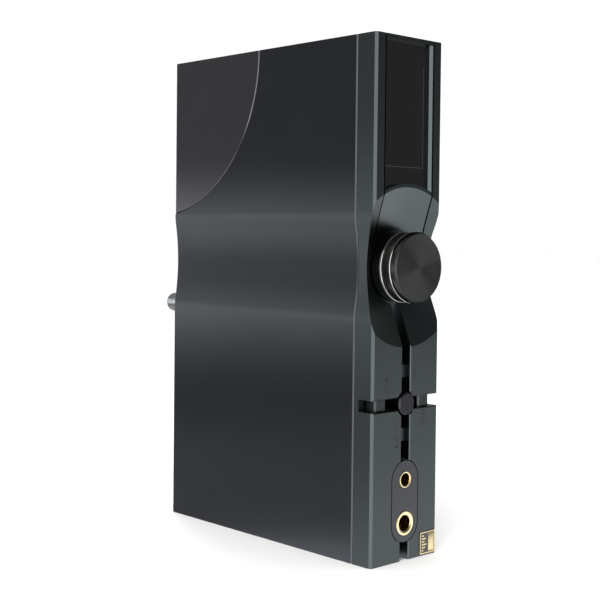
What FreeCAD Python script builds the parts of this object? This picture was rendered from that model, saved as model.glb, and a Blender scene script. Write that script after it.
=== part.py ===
import FreeCAD, Part
import os
from math import atan, cos, pi, sin

from FreeCAD import Vector

# Digital audio player standing on its short end, in millimetres.
# +X points out of the narrow control face, -Y out of the broad face with the corner insert,
# +Z up. The origin is the centre of the bottom face of the body.

# ---- driving dimensions: casing -----------------------------------------------------------
body_height = 150.0
body_width = 91.6           # along X, from the rear plate to the control face
body_thickness = 28.2       # along Y, over both side covers
panel_thickness = 7.3       # the machined control panel
panel_edge_chamfer = 0.7
cover_thickness = 1.5
rear_thickness = 2.5
end_plate_thickness = 3.0
seam_gap = 0.1
seam_chamfer = 0.35
fit_gap = 0.05              # between two fixed pieces that drop into each other

valley_z = 84.4             # waist that runs across both broad faces
valley_width = 31.0
valley_depth = 1.25
valley_shoulder = 3.6       # height of the rounded edge at its top and at its bottom

insert_radius = 50.6        # quarter-round plate in the top rear corner
insert_reach_x = 42.4       # from the rear edge to the arc, along the top
insert_drop = 0.1           # its centre below the top edge
insert_thickness = 1.0
insert_gap = 0.15
insert_chamfer = 0.3

# ---- driving dimensions: knob, dish and encoder -------------------------------------------
knob_z = 84.4
knob_radius = 10.2
knob_proud = 4.4            # knob face in front of the control face
knob_base_length = 3.5
knob_edge = 0.25
grip_step = 0.2             # how far the grip sits below the rings on both sides
grip_wall = 1.4
grip_gap = 0.05
cap_length = 1.9
cap_edge = 0.2
cap_bevel_length = 1.0
cap_bevel_radial = 0.6
spigot_radius = 4.0
spigot_length = 1.0
knob_gap = 0.3              # running gap to the fixed pieces
knob_cavity_radius = 6.2

dish_radius = 22.9
dish_slope = 0.39           # depth for each millimetre of radius
dish_well_gap = 0.4         # round the knob
dish_well_depth = 5.2

shaft_radius = 3.0
shaft_grip_length = 4.2     # inside the knob
shaft_running_gap = 0.06
bushing_radius = 3.5
nut_flats = 8.0
nut_thickness = 1.5
washer_thickness = 0.2
washer_radius = 5.0
grub_radius = 0.6
grub_length = 3.5
encoder_depth = 7.0
bushing_proud = 0.2         # past the nut
nut_clearance = 0.5         # from the nut to the floor of the knob's cavity
shaft_tail = 1.5            # from the back of the housing to the end of the shaft
shaft_tail_gap = 0.2
encoder_half_y = 6.5
encoder_half_z = 6.0

# ---- driving dimensions: display ----------------------------------------------------------
side_strip_width = 3.65     # the panel left standing on each side of the display bay
bay_depth = 5.8
bay_gap = 0.5
bezel_end_gap = 0.1         # behind the bezel
bezel_foot_gap = 0.2        # below the bezel
bay_bottom_over_knob = 5.0
bezel_lip = 0.9
bezel_wall = 0.55
bezel_top_lip = 1.3
bezel_side_chamfer = 0.75   # on the two upright sides of the window
bezel_arc_lip = 1.0
bezel_arc_ledge = 0.3
glass_recess = 1.5
glass_thickness = 1.2
display_thickness = 2.4
display_margin = 0.6
display_top_margin = 1.5
flex_width = 9.0
flex_thickness = 0.3
flex_length = 5.0           # behind the panel
flex_clearance = 0.4

# ---- driving dimensions: slots, keys and switches -----------------------------------------
slot_width = 3.5
slot_depth = 5.4
slot_chamfer = 0.25
cross_z = 45.4              # centre of the slot cross and of the round button
button_radius = 3.3
button_hole_gap = 0.4
button_proud = 0.5
button_chamfer = 0.45
key_inner = 6.9             # from the cross centre to the near end of a key
key_length = 4.6
key_side_gap = 0.12
key_recess = 1.4            # key top below the control face
key_chamfer = 0.5
key_lift = 0.5              # under a key or the button, room for its travel
stem_radius = 1.0
stem_gap = 0.12
stem_end = 0.45             # behind the back of the panel
retainer_radius = 1.7
retainer_thickness = 0.3
retainer_gap = 0.1
travel = 0.35
switch_board_gap = 2.5      # behind the panel
switch_board_thickness = 1.0
switch_half = 1.5
switch_edge = 1.0           # board left outside a switch
switch_side_gap = 0.3       # from the board to the covers
switch_height = 1.35
plunger_radius = 0.7
plunger_gap = 0.05          # left when a key is fully down

# ---- driving dimensions: headphone sockets and badge --------------------------------------
socket_small_z = 23.45
socket_large_z = 10.85
jack_plate_radius = 5.45
jack_plate_thickness = 1.6
jack_plate_gap = 0.3
jack_ledge = 1.15
small_bore_radius = 1.8
small_sleeve_wall = 0.6
small_bore_length = 14.5
small_mouth = 0.2
large_bore_radius = 2.25
large_sleeve_wall = 1.3
large_bore_length = 20.0
large_mouth = 0.4
sleeve_proud = 0.2
sleeve_end = 1.0
sleeve_edge = 0.15
socket_wall = 1.05          # plastic round a sleeve

badge_width = 6.6
badge_height = 6.4
badge_thickness = 0.25
badge_edge_y = 0.15         # from the chamfer at the side of the panel
badge_edge_z = 0.5

# ---- driving dimensions: rear fittings ----------------------------------------------------
antenna_radius = 3.08
antenna_length = 7.5
antenna_round = 1.2
antenna_z = 70.3
antenna_edge = 3.6          # its axis from the inside of the left cover
antenna_shank_radius = 2.4
antenna_shank_length = 3.0
antenna_nut_thickness = 1.8
antenna_nut_wall = 0.8

usb_z = 16.0
usb_length = 9.0
usb_height = 3.2
usb_wall = 0.3
usb_depth = 7.3
usb_recess = 0.2
usb_tongue_thickness = 0.7
usb_back_wall = 1.0
usb_tongue_recess = 1.0
card_z = 34.0
card_length = 12.0
card_height = 1.4
card_depth = 6.5
card_body_height = 1.8
card_wall = 1.0             # at the two ends and the back of the socket
card_slot_height = 1.0
card_slot_margin = 0.5

# ---- driving dimensions: fasteners and electronics ----------------------------------------
screw_radius = 0.8
screw_head_radius = 1.25
screw_head_height = 0.8
screw_drive_radius = 0.55
screw_drive_depth = 0.5
rear_screw_edge_y = 3.1     # from the inside of a side cover
rear_screw_length = 7.0
panel_screw_depth = 1.2
bracket_width = 5.0
bracket_leg = 7.0
bracket_foot = 8.0
bracket_thickness = 1.4
bracket_edge = 1.6          # from the inside of a side cover
bracket_socket_gap = 0.3    # kept to the larger socket in a thin body
bracket_screw_drop = 2.2

board_thickness = 1.2
board_rear_gap = 1.3
board_front_gap = 0.8       # behind the longer socket
board_end_gap = 2.0
board_inset = 3.3
standoff_length = 7.9
standoff_radius = 2.0
standoff_hole = 3.0
board_screw_head = 0.9
screw_tip_gap = 0.2         # to the end of a standoff's hole
dac_gap = 8.1               # from the left cover to the converter board
dac_height = 38.0
shield_inset = 8.0
processor_shield_length = 30.0
processor_shield_height = 26.0
processor_shield_z = 72.0
processor_shield_depth = 2.4
radio_shield_length = 18.0
radio_shield_height = 20.0
radio_shield_drop = 17.0    # below the top of the main board
radio_shield_depth = 2.0
dac_shield_length = 26.0
dac_shield_height = 19.0
dac_shield_depth = 3.2
dac_shield_rise = 2.0       # over the low edge of the converter board
capacitor_count = 6
capacitor_radius = 3.15
capacitor_length = 6.6
capacitor_drop = 10.0
battery_skin_gap = 1.2
battery_board_gap = 1.5
battery_low_z = 7.0
battery_height = 59.0
battery_front_gap = 6.0
battery_round = 2.0

# ---- places that follow from them ---------------------------------------------------------
half_thickness = body_thickness / 2
face_x = body_width / 2
rear_x = -body_width / 2
panel_back_x = face_x - panel_thickness
cover_front_x = panel_back_x - seam_gap
inner_half = half_thickness - cover_thickness
rear_inner_x = rear_x + rear_thickness
top_inner_z = body_height - end_plate_thickness
insert_centre_x = rear_x + insert_reach_x - insert_radius
insert_centre_z = body_height - insert_drop

well_x = face_x - dish_well_depth
dish_well_radius = knob_radius + dish_well_gap
dish_cone_depth = (dish_radius - dish_well_radius) * dish_slope
knob_base_x = well_x + knob_gap
knob_front_x = face_x + knob_proud
base_top_x = knob_base_x + knob_base_length
cap_back_x = knob_front_x - cap_length
neck_radius = knob_radius - grip_step - grip_wall
nut_top_x = well_x + washer_thickness + nut_thickness
bushing_end_x = nut_top_x + bushing_proud
knob_cavity_x = nut_top_x + nut_clearance
shaft_tip_x = knob_cavity_x + shaft_grip_length
grub_x = (knob_cavity_x + base_top_x) / 2
encoder_back_x = panel_back_x - encoder_depth

bay_half_width = half_thickness - side_strip_width
bay_back_x = face_x - bay_depth
bezel_half = bay_half_width - bay_gap
bezel_back_x = bay_back_x + bezel_end_gap
bezel_bottom_z = knob_z + bay_bottom_over_knob + bezel_foot_gap
window_arc_radius = dish_radius + bezel_arc_lip
pocket_arc_radius = window_arc_radius - bezel_arc_ledge
glass_front_x = face_x - glass_recess
glass_back_x = glass_front_x - glass_thickness
display_front_x = glass_back_x - fit_gap
display_back_x = display_front_x - display_thickness
display_low_z = knob_z + window_arc_radius + display_margin
display_high_z = body_height - bezel_wall - display_top_margin
flex_z = display_low_z + 0.3 * (display_high_z - display_low_z)

slot_floor_x = face_x - slot_depth
cap_base_x = slot_floor_x + key_lift
key_top_x = face_x - key_recess
button_hole_radius = button_radius + button_hole_gap
switch_reach = inner_half - switch_edge - switch_half - switch_side_gap
key_middle = min(key_inner + key_length / 2, switch_reach)
stem_end_x = panel_back_x - stem_end
switch_board_x = panel_back_x - switch_board_gap

small_sleeve_radius = small_bore_radius + small_sleeve_wall
large_sleeve_radius = large_bore_radius + large_sleeve_wall
jack_back_x = face_x - jack_plate_thickness
jack_pocket_radius = jack_plate_radius + jack_plate_gap
sleeve_front_x = face_x + sleeve_proud

antenna_y = antenna_edge - inner_half
rear_screw_y = inner_half - rear_screw_edge_y
bracket_room = inner_half - bracket_edge - large_sleeve_radius - socket_wall - bracket_socket_gap
bracket_span = min(bracket_width, bracket_room)
bracket_y = inner_half - bracket_edge - bracket_span / 2

board_rear_x = rear_inner_x + board_rear_gap
board_front_x = sleeve_front_x - large_bore_length - sleeve_end - board_front_gap
board_y = inner_half - standoff_length - board_thickness
board_face_y = board_y + board_thickness
screw_reach = standoff_hole - screw_tip_gap
board_low_z = end_plate_thickness + board_end_gap
board_high_z = top_inner_z - board_end_gap
dac_y = dac_gap - inner_half
port_y = board_face_y + usb_height / 2
card_y = board_face_y + card_body_height / 2


# ---- shape helpers ------------------------------------------------------------------------
def box(x0, x1, y0, y1, z0, z1):
    return Part.makeBox(x1 - x0, y1 - y0, z1 - z0, Vector(x0, y0, z0))


def cyl_x(x0, x1, y, z, radius):
    return Part.makeCylinder(radius, x1 - x0, Vector(x0, y, z), Vector(1, 0, 0))


def cyl_y(y0, y1, x, z, radius):
    return Part.makeCylinder(radius, y1 - y0, Vector(x, y0, z), Vector(0, 1, 0))


def cone_x(x0, x1, y, z, radius0, radius1):
    return Part.makeCone(radius0, radius1, x1 - x0, Vector(x0, y, z), Vector(1, 0, 0))


def ring_x(x0, x1, y, z, inner, outer):
    return one_solid(cyl_x(x0, x1, y, z, outer).cut(cyl_x(x0, x1, y, z, inner)))


def prism(corners, along):
    return Part.Face(Part.makePolygon(corners + corners[:1])).extrude(along)


def prism_z(points_xy, z0, z1):
    return prism([Vector(x, y, z0) for x, y in points_xy], Vector(0, 0, z1 - z0))


def prism_y(points_xz, y0, y1):
    return prism([Vector(x, y0, z) for x, z in points_xz], Vector(0, y1 - y0, 0))


def turned(points_xr, y=0.0, z=knob_z):
    """A body of revolution about the X line through (y, z), from (x, radius) corners."""
    corners = [Vector(x, y, z + radius) for x, radius in points_xr]
    face = Part.Face(Part.makePolygon(corners + corners[:1]))
    return face.revolve(Vector(0, y, z), Vector(1, 0, 0), 360)


def stadium(x0, x1, z_low, z_high, radius, y=0.0):
    """Upright rounded bar: two half rounds about z_low and z_high, from x0 to x1."""
    low_l, low_r = Vector(x0, y - radius, z_low), Vector(x0, y + radius, z_low)
    top_l, top_r = Vector(x0, y - radius, z_high), Vector(x0, y + radius, z_high)
    edges = [
        Part.Arc(low_l, Vector(x0, y, z_low - radius), low_r).toShape(),
        Part.LineSegment(low_r, top_r).toShape(),
        Part.Arc(top_r, Vector(x0, y, z_high + radius), top_l).toShape(),
        Part.LineSegment(top_l, low_l).toShape(),
    ]
    return Part.Face(Part.Wire(edges)).extrude(Vector(x1 - x0, 0, 0))


def one_solid(shape):
    solids = shape.removeSplitter().Solids
    if len(solids) != 1:
        raise ValueError("expected one solid, got %d" % len(solids))
    return solids[0]


def group(shapes):
    return Part.makeCompound([one_solid(shape) for shape in shapes])


# ---- outline of the body ------------------------------------------------------------------
def side_edges(x, side, offset, z0, z1):
    """The outline of one broad face from z0 up to z1: flat, waist valley, flat."""
    y = half_thickness - offset
    step = valley_shoulder
    slope = 2 * atan(2 * valley_depth / valley_width)
    radius = step / sin(slope)
    drop = radius * (1 - cos(slope))
    bulge_y = y - radius * (1 - cos(slope / 2))
    bulge_z = radius * sin(slope / 2)
    low = valley_z - valley_width / 2
    high = valley_z + valley_width / 2
    deepest = Vector(x, side * (y - valley_depth), valley_z)

    def at(py, pz):
        return Vector(x, side * py, pz)

    return [
        Part.LineSegment(at(y, z0), at(y, low)).toShape(),
        Part.Arc(at(y, low), at(bulge_y, low + bulge_z), at(y - drop, low + step)).toShape(),
        Part.Arc(at(y - drop, low + step), deepest, at(y - drop, high - step)).toShape(),
        Part.Arc(at(y - drop, high - step), at(bulge_y, high - bulge_z), at(y, high)).toShape(),
        Part.LineSegment(at(y, high), at(y, z1)).toShape(),
    ]


def closed_outline(x0, x1, first, second, y_first, y_second):
    """Two side outlines joined at the bottom and the top, drawn out from x0 to x1."""
    edges = first + second
    for z in (0.0, body_height):
        edges.append(Part.LineSegment(Vector(x0, y_first, z), Vector(x0, y_second, z)).toShape())
    wire = Part.Wire(Part.__sortEdges__(edges))
    return Part.Face(wire).extrude(Vector(x1 - x0, 0, 0))


def envelope(x0, x1, offset):
    """Everything between the two broad outlines, both moved inwards by offset."""
    y = half_thickness - offset
    left = side_edges(x0, -1, offset, 0.0, body_height)
    right = side_edges(x0, 1, offset, 0.0, body_height)
    return closed_outline(x0, x1, left, right, -y, y)


def long_edges_at(shape, x):
    """The upright edges on the outside of the body that lie in the plane X = x."""
    reach = half_thickness - valley_depth - 0.01
    chosen = []
    for edge in shape.Edges:
        limits = edge.BoundBox
        flat = abs(limits.XMin - x) < 1e-6 and abs(limits.XMax - x) < 1e-6
        outside = min(abs(limits.YMin), abs(limits.YMax)) > reach
        if flat and outside and limits.ZLength > 1.0:
            chosen.append(edge)
    return chosen


# ---- casing -------------------------------------------------------------------------------
def side_cover(side):
    outer = side_edges(rear_x, side, 0.0, 0.0, body_height)
    inner = side_edges(rear_x, side, cover_thickness, 0.0, body_height)
    blank = closed_outline(rear_x, cover_front_x, outer, inner, side * half_thickness, side * inner_half)
    rims = long_edges_at(blank, cover_front_x) + long_edges_at(blank, rear_x)
    cover = blank.makeChamfer(seam_chamfer, rims)
    if side < 0:
        y0 = -half_thickness
        cover = cover.cut(cyl_y(y0, y0 + insert_thickness, insert_centre_x, insert_centre_z, insert_radius))
    return one_solid(cover)


def corner_insert():
    y0 = -half_thickness
    edge_y = y0 + insert_chamfer
    radius = insert_radius - insert_gap
    centre = Vector(insert_centre_x, y0, insert_centre_z)
    rim = Part.makeCone(radius - insert_chamfer, radius, insert_chamfer, centre, Vector(0, 1, 0))
    disc = rim.fuse(cyl_y(edge_y, y0 + insert_thickness, insert_centre_x, insert_centre_z, radius))
    piece = disc.common(box(rear_x, face_x, y0, 0, 0, body_height))
    wide = 2 * insert_chamfer
    rear_bevel = prism_z([(rear_x, y0), (rear_x + wide, y0), (rear_x, y0 + wide)], 0, body_height)
    return one_solid(piece.cut(rear_bevel))


def end_plate(z0):
    plate = box(rear_inner_x, panel_back_x, -inner_half, inner_half, z0, z0 + end_plate_thickness)
    return one_solid(plate.cut(rear_screw_bodies()))


def rear_screw_places():
    inset = end_plate_thickness / 2
    return [(y, z) for y in (-rear_screw_y, rear_screw_y) for z in (inset, body_height - inset)]


def rear_screw_body(y, z):
    head = screw_head_radius
    neck_x = rear_x + head - screw_radius
    end_x = rear_x + rear_screw_length
    return turned([(rear_x, 0), (rear_x, head), (neck_x, screw_radius),
                   (end_x, screw_radius), (end_x, 0)], y, z)


def rear_screw_bodies():
    return Part.makeCompound([rear_screw_body(y, z) for y, z in rear_screw_places()])


def rear_screws():
    screws = []
    for y, z in rear_screw_places():
        drive = cyl_x(rear_x, rear_x + screw_drive_depth, y, z, screw_drive_radius)
        screws.append(rear_screw_body(y, z).cut(drive))
    return group(screws)


def rear_plate():
    plate = envelope(rear_x, rear_inner_x, cover_thickness)
    card = box(rear_x, rear_inner_x, card_y - card_height / 2, card_y + card_height / 2,
               card_z - card_length / 2, card_z + card_length / 2)
    antenna_hole = cyl_x(rear_x, rear_inner_x, antenna_y, antenna_z, antenna_shank_radius + fit_gap)
    for cutter in (usb_outline(rear_x, rear_inner_x, 2 * fit_gap), card, antenna_hole, rear_screw_bodies()):
        plate = plate.cut(cutter)
    return one_solid(plate)


# ---- control panel ------------------------------------------------------------------------
def dish_cutter():
    over = 1.0
    outer = dish_radius + over / dish_slope
    cone = cone_x(face_x - dish_cone_depth, face_x + over, 0, knob_z, dish_well_radius, outer)
    return cone.fuse(cyl_x(well_x, face_x + over, 0, knob_z, dish_well_radius))


def slot_section(middle):
    """Corners of the bevelled slot mouth, as (x, distance across)."""
    half = slot_width / 2
    c = slot_chamfer
    return [(face_x - c, middle - half), (face_x, middle - half - c),
            (face_x, middle + half + c), (face_x - c, middle + half)]


def upright_slot(z0, z1):
    half = slot_width / 2
    deep = box(slot_floor_x, face_x + 1, -half, half, z0, z1)
    return deep.fuse(prism_z(slot_section(0.0), z0, z1))


def level_slot():
    half = slot_width / 2
    y = half_thickness + 1
    deep = box(slot_floor_x, face_x + 1, -y, y, cross_z - half, cross_z + half)
    return deep.fuse(prism_y(slot_section(cross_z), -y, y))


def button_well():
    c = slot_chamfer
    well = cyl_x(slot_floor_x, face_x + 1, 0, cross_z, button_hole_radius)
    return well.fuse(cone_x(face_x - c, face_x, 0, cross_z, button_hole_radius, button_hole_radius + c))


def key_places():
    """Each key's middle as (y, z), counted from the middle of the cross."""
    return {
        "up": (0.0, key_middle),
        "down": (0.0, -key_middle),
        "left": (-key_middle, 0.0),
        "right": (key_middle, 0.0),
    }


def stem_places():
    return [(0.0, 0.0)] + list(key_places().values())


def stem_holes():
    radius = stem_radius + stem_gap
    return Part.makeCompound([cyl_x(panel_back_x, slot_floor_x, y, cross_z + z, radius)
                              for y, z in stem_places()])


def display_bay():
    channel = box(bay_back_x, face_x + 1, -bay_half_width, bay_half_width,
                  knob_z + bay_bottom_over_knob, body_height + 1)
    half = flex_width / 2 + flex_clearance
    passage = box(panel_back_x, bay_back_x, -half, half,
                  flex_z - flex_clearance, flex_z + flex_thickness + flex_clearance)
    return channel.fuse(passage)


def jack_pocket():
    pocket = stadium(jack_back_x, face_x + 1, socket_large_z, socket_small_z, jack_pocket_radius)
    window = stadium(panel_back_x, face_x, socket_large_z, socket_small_z, jack_plate_radius - jack_ledge)
    return pocket.fuse(window)


def jack_backing():
    """Solid metal behind the jack plate, where the upright slot doesn't run."""
    return stadium(slot_floor_x, jack_back_x, socket_large_z, socket_small_z, jack_pocket_radius)


def front_panel():
    block = envelope(panel_back_x, face_x, 0.0)
    block = block.makeChamfer(panel_edge_chamfer, long_edges_at(block, face_x))
    block = block.makeChamfer(seam_chamfer, long_edges_at(block, panel_back_x))
    cutters = [
        dish_cutter(),
        upright_slot(socket_small_z, knob_z - dish_well_radius + 1.0),
        upright_slot(-1.0, socket_large_z),
        level_slot(),
        button_well(),
        stem_holes(),
        display_bay(),
        cyl_x(panel_back_x, well_x, 0, knob_z, bushing_radius + fit_gap),
        panel_screw_shanks(panel_back_x + panel_screw_depth),
    ]
    for cutter in cutters:
        block = block.cut(cutter)
    return one_solid(block.fuse(jack_backing()).cut(jack_pocket()))


def bracket_places():
    """(y, inner face of the end plate, direction towards the middle of the body)"""
    return [(y, z, up) for y in (-bracket_y, bracket_y)
            for z, up in ((end_plate_thickness, 1), (top_inner_z, -1))]


def panel_screw_z(z, up):
    return z + up * (bracket_leg - bracket_screw_drop)


def panel_screw_shanks(end_x):
    start_x = panel_back_x - bracket_thickness
    return Part.makeCompound([cyl_x(start_x, end_x, y, panel_screw_z(z, up), screw_radius)
                              for y, z, up in bracket_places()])


def panel_brackets():
    pieces = []
    for y, z, up in bracket_places():
        y0, y1 = y - bracket_span / 2, y + bracket_span / 2
        leg_z = sorted((z, z + up * bracket_leg))
        foot_z = sorted((z, z + up * bracket_thickness))
        leg = box(panel_back_x - bracket_thickness, panel_back_x, y0, y1, leg_z[0], leg_z[1])
        foot = box(panel_back_x - bracket_foot, panel_back_x, y0, y1, foot_z[0], foot_z[1])
        pieces.append(leg.fuse(foot).cut(panel_screw_shanks(panel_back_x)))
    return group(pieces)


def panel_screws():
    head_x = panel_back_x - bracket_thickness
    screws = []
    for y, z, up in bracket_places():
        middle = panel_screw_z(z, up)
        shank = cyl_x(head_x, panel_back_x + panel_screw_depth, y, middle, screw_radius)
        head = cyl_x(head_x - screw_head_height, head_x, y, middle, screw_head_radius)
        screws.append(shank.fuse(head))
    return group(screws)


# ---- display ------------------------------------------------------------------------------
def above_arc(blank, x0, x1, radius):
    return blank.cut(cyl_x(x0, x1, 0, knob_z, radius))


def display_bezel():
    blank = box(bezel_back_x, face_x, -bezel_half, bezel_half, bezel_bottom_z, body_height)
    over = face_x + 1
    window_half = bezel_half - bezel_lip
    window = box(glass_front_x, over, -window_half, window_half, knob_z, body_height - bezel_top_lip)
    pocket_half = bezel_half - bezel_wall
    pocket = box(bezel_back_x, glass_front_x, -pocket_half, pocket_half, knob_z, body_height - bezel_wall)
    flare_x = face_x - bezel_side_chamfer
    flare_half = window_half + over - flare_x
    flare_outline = [
        (flare_x, -window_half),
        (over, -flare_half),
        (over, flare_half),
        (flare_x, window_half),
    ]
    flare = prism_z(flare_outline, knob_z, body_height - bezel_top_lip)
    blank = blank.cut(dish_cutter())
    blank = blank.cut(above_arc(window, glass_front_x, over, window_arc_radius))
    blank = blank.cut(above_arc(flare, flare_x, over, window_arc_radius))
    return one_solid(blank.cut(above_arc(pocket, bezel_back_x, glass_front_x, pocket_arc_radius)))


def display_glass():
    half = bezel_half - bezel_wall - fit_gap
    blank = box(glass_back_x, glass_front_x, -half, half, knob_z, body_height - bezel_wall - fit_gap)
    return one_solid(above_arc(blank, glass_back_x, glass_front_x, pocket_arc_radius + fit_gap))


def display_module():
    half = bezel_half - bezel_wall - display_margin
    return box(display_back_x, display_front_x, -half, half, display_low_z, display_high_z)


def display_flex():
    return box(panel_back_x - flex_length, display_back_x, -flex_width / 2, flex_width / 2,
               flex_z, flex_z + flex_thickness)


# ---- headphone sockets --------------------------------------------------------------------
def jack_plate():
    plate = stadium(jack_back_x, face_x, socket_large_z, socket_small_z, jack_plate_radius)
    plate = plate.cut(cyl_x(jack_back_x, face_x, 0, socket_small_z, small_sleeve_radius + fit_gap))
    hole_radius = large_sleeve_radius + fit_gap
    return one_solid(plate.cut(cyl_x(jack_back_x, face_x, 0, socket_large_z, hole_radius)))


def socket_sleeve(z, bore, radius, length, mouth):
    """A plain metal sleeve, closed at its inner end, with a bevelled mouth."""
    front = sleeve_front_x
    deep = front - length
    back = deep - sleeve_end
    return one_solid(turned([(back, 0), (back, radius), (front - sleeve_edge, radius),
                             (front, radius - sleeve_edge), (front, bore + mouth), (front - mouth, bore),
                             (deep, bore), (deep, 0)], 0.0, z))


def socket_body(z, radius, length):
    half = radius + socket_wall
    back = sleeve_front_x - length - sleeve_end / 2
    body = box(back, panel_back_x - seam_gap, -half, half, z - half, z + half)
    return one_solid(body.cut(cyl_x(back, panel_back_x, 0, z, radius + fit_gap)))


def badge_plate():
    y1 = half_thickness - panel_edge_chamfer - badge_edge_y
    return box(face_x, face_x + badge_thickness, y1 - badge_width, y1,
               badge_edge_z, badge_edge_z + badge_height)


# ---- volume knob and encoder --------------------------------------------------------------
def volume_knob():
    r = knob_radius
    e = knob_edge
    spigot_x = cap_back_x - spigot_length
    body = turned([(knob_base_x, knob_cavity_radius), (knob_base_x, r - e), (knob_base_x + e, r),
                   (base_top_x - e, r), (base_top_x, r - e), (base_top_x, neck_radius),
                   (cap_back_x, neck_radius), (cap_back_x, spigot_radius), (spigot_x, spigot_radius),
                   (spigot_x, 0), (shaft_tip_x, 0), (shaft_tip_x, shaft_radius),
                   (knob_cavity_x, shaft_radius), (knob_cavity_x, knob_cavity_radius)])
    return one_solid(body.cut(grub_bore(r + 1)))


def grub_bore(reach):
    drill = cyl_y(0, reach, grub_x, knob_z, grub_radius)
    return drill.cut(cyl_x(knob_base_x, base_top_x, 0, knob_z, shaft_radius))


def knob_grub_screw():
    return one_solid(grub_bore(shaft_radius + grub_length))


def knob_grip_ring():
    low = base_top_x + grip_gap
    high = cap_back_x - grip_gap
    return ring_x(low, high, 0, knob_z, neck_radius, neck_radius + grip_wall)


def knob_face_cap():
    r = knob_radius
    spigot_x = cap_back_x - spigot_length
    return one_solid(turned([(spigot_x, 0), (spigot_x, spigot_radius), (cap_back_x, spigot_radius),
                             (cap_back_x, r - cap_edge), (cap_back_x + cap_edge, r),
                             (knob_front_x - cap_bevel_length, r), (knob_front_x, r - cap_bevel_radial),
                             (knob_front_x, 0)]))


def encoder_shaft():
    return cyl_x(encoder_back_x + shaft_tail, shaft_tip_x, 0, knob_z, shaft_radius)


def encoder_housing():
    body = box(encoder_back_x, panel_back_x, -encoder_half_y, encoder_half_y,
               knob_z - encoder_half_z, knob_z + encoder_half_z)
    floor_x = encoder_back_x + shaft_tail - shaft_tail_gap
    bore = cyl_x(floor_x, panel_back_x, 0, knob_z, shaft_radius + shaft_running_gap)
    return one_solid(body.cut(bore))


def encoder_bushing():
    return ring_x(panel_back_x, bushing_end_x, 0, knob_z, shaft_radius + shaft_running_gap, bushing_radius)


def encoder_washer():
    return ring_x(well_x, well_x + washer_thickness, 0, knob_z, bushing_radius, washer_radius)


def encoder_nut():
    x0 = well_x + washer_thickness
    radius = nut_flats / 2 / cos(pi / 6)
    turns = [k * pi / 3 for k in range(6)]
    corners = [Vector(x0, radius * cos(a), knob_z + radius * sin(a)) for a in turns]
    hexagon = prism(corners, Vector(nut_thickness, 0, 0))
    return one_solid(hexagon.cut(cyl_x(x0, nut_top_x, 0, knob_z, bushing_radius)))


# ---- round button, four keys and their switches -------------------------------------------
def centre_button():
    front = face_x + button_proud
    c = button_chamfer
    return one_solid(turned([(stem_end_x, 0), (stem_end_x, stem_radius), (cap_base_x, stem_radius),
                             (cap_base_x, button_radius), (front - c, button_radius),
                             (front, button_radius - c), (front, 0)], 0.0, cross_z))


def key_cap(along, across, upright):
    """A bar that lies in the slot, bevelled at both ends; along and across are half sizes."""
    c = key_chamfer
    profile = [(cap_base_x, -along), (key_top_x - c, -along), (key_top_x, c - along),
               (key_top_x, along - c), (key_top_x - c, along), (cap_base_x, along)]
    if upright:
        return prism_y(profile, -across, across)
    return prism_z(profile, -across, across)


def key(name):
    y, z = key_places()[name]
    cap = key_cap(key_length / 2, slot_width / 2 - key_side_gap, name in ("up", "down"))
    shape = cap.fuse(cyl_x(stem_end_x, cap_base_x + key_chamfer, 0, 0, stem_radius))
    shape.translate(Vector(0, y, cross_z + z))
    return one_solid(shape)


def retainer(y, z):
    x1 = panel_back_x - retainer_gap
    return ring_x(x1 - retainer_thickness, x1, y, cross_z + z, stem_radius, retainer_radius)


def tact_switches():
    top = switch_board_x + switch_height
    tip = stem_end_x - travel - plunger_gap
    switches = []
    for y, z in stem_places():
        body = box(switch_board_x, top, y - switch_half, y + switch_half,
                   cross_z + z - switch_half, cross_z + z + switch_half)
        switches.append(body.fuse(cyl_x(top, tip, y, cross_z + z, plunger_radius)))
    return group(switches)


def switch_board():
    reach = key_middle + switch_half + switch_edge
    return box(switch_board_x - switch_board_thickness, switch_board_x, -reach, reach,
               cross_z - reach, cross_z + reach)


# ---- rear fittings ------------------------------------------------------------------------
def antenna_connector():
    tip = rear_x - antenna_length
    body = cyl_x(tip, rear_x, antenna_y, antenna_z, antenna_radius)
    rim = [edge for edge in body.Edges if abs(edge.BoundBox.XMax - tip) < 1e-6]
    body = body.makeFillet(antenna_round, rim)
    shank = cyl_x(rear_x, rear_inner_x + antenna_shank_length, antenna_y, antenna_z, antenna_shank_radius)
    return one_solid(body.fuse(shank))


def antenna_nut():
    return ring_x(rear_inner_x, rear_inner_x + antenna_nut_thickness, antenna_y, antenna_z,
                  antenna_shank_radius, antenna_shank_radius + antenna_nut_wall)


def usb_outline(x0, x1, grow):
    reach = (usb_length - usb_height) / 2
    return stadium(x0, x1, usb_z - reach, usb_z + reach, usb_height / 2 + grow, port_y)


def usb_port():
    x0 = rear_x + usb_recess
    shell = usb_outline(x0, x0 + usb_depth, 0.0)
    return one_solid(shell.cut(usb_outline(x0, x0 + usb_depth - usb_back_wall, -usb_wall)))


def usb_tongue():
    half = usb_tongue_thickness / 2
    reach = (usb_length - usb_height) / 2 + usb_wall
    x0 = rear_x + usb_recess
    tip_x = x0 + usb_tongue_recess
    root_x = x0 + usb_depth - usb_back_wall
    return box(tip_x, root_x, port_y - half, port_y + half, usb_z - reach, usb_z + reach)


def card_socket():
    x1 = rear_inner_x + card_depth
    half = card_length / 2
    body = box(rear_inner_x, x1, board_face_y, board_face_y + card_body_height,
               card_z - half - card_wall, card_z + half + card_wall)
    slot_half_y = card_slot_height / 2
    slot_half_z = half - card_slot_margin
    slot = box(rear_inner_x, x1 - card_wall, card_y - slot_half_y, card_y + slot_half_y,
               card_z - slot_half_z, card_z + slot_half_z)
    return one_solid(body.cut(slot))


# ---- electronics --------------------------------------------------------------------------
def standoff_places():
    return [(x, z) for x in (board_rear_x + board_inset, board_front_x - board_inset)
            for z in (board_low_z + board_inset, board_high_z - board_inset)]


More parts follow.
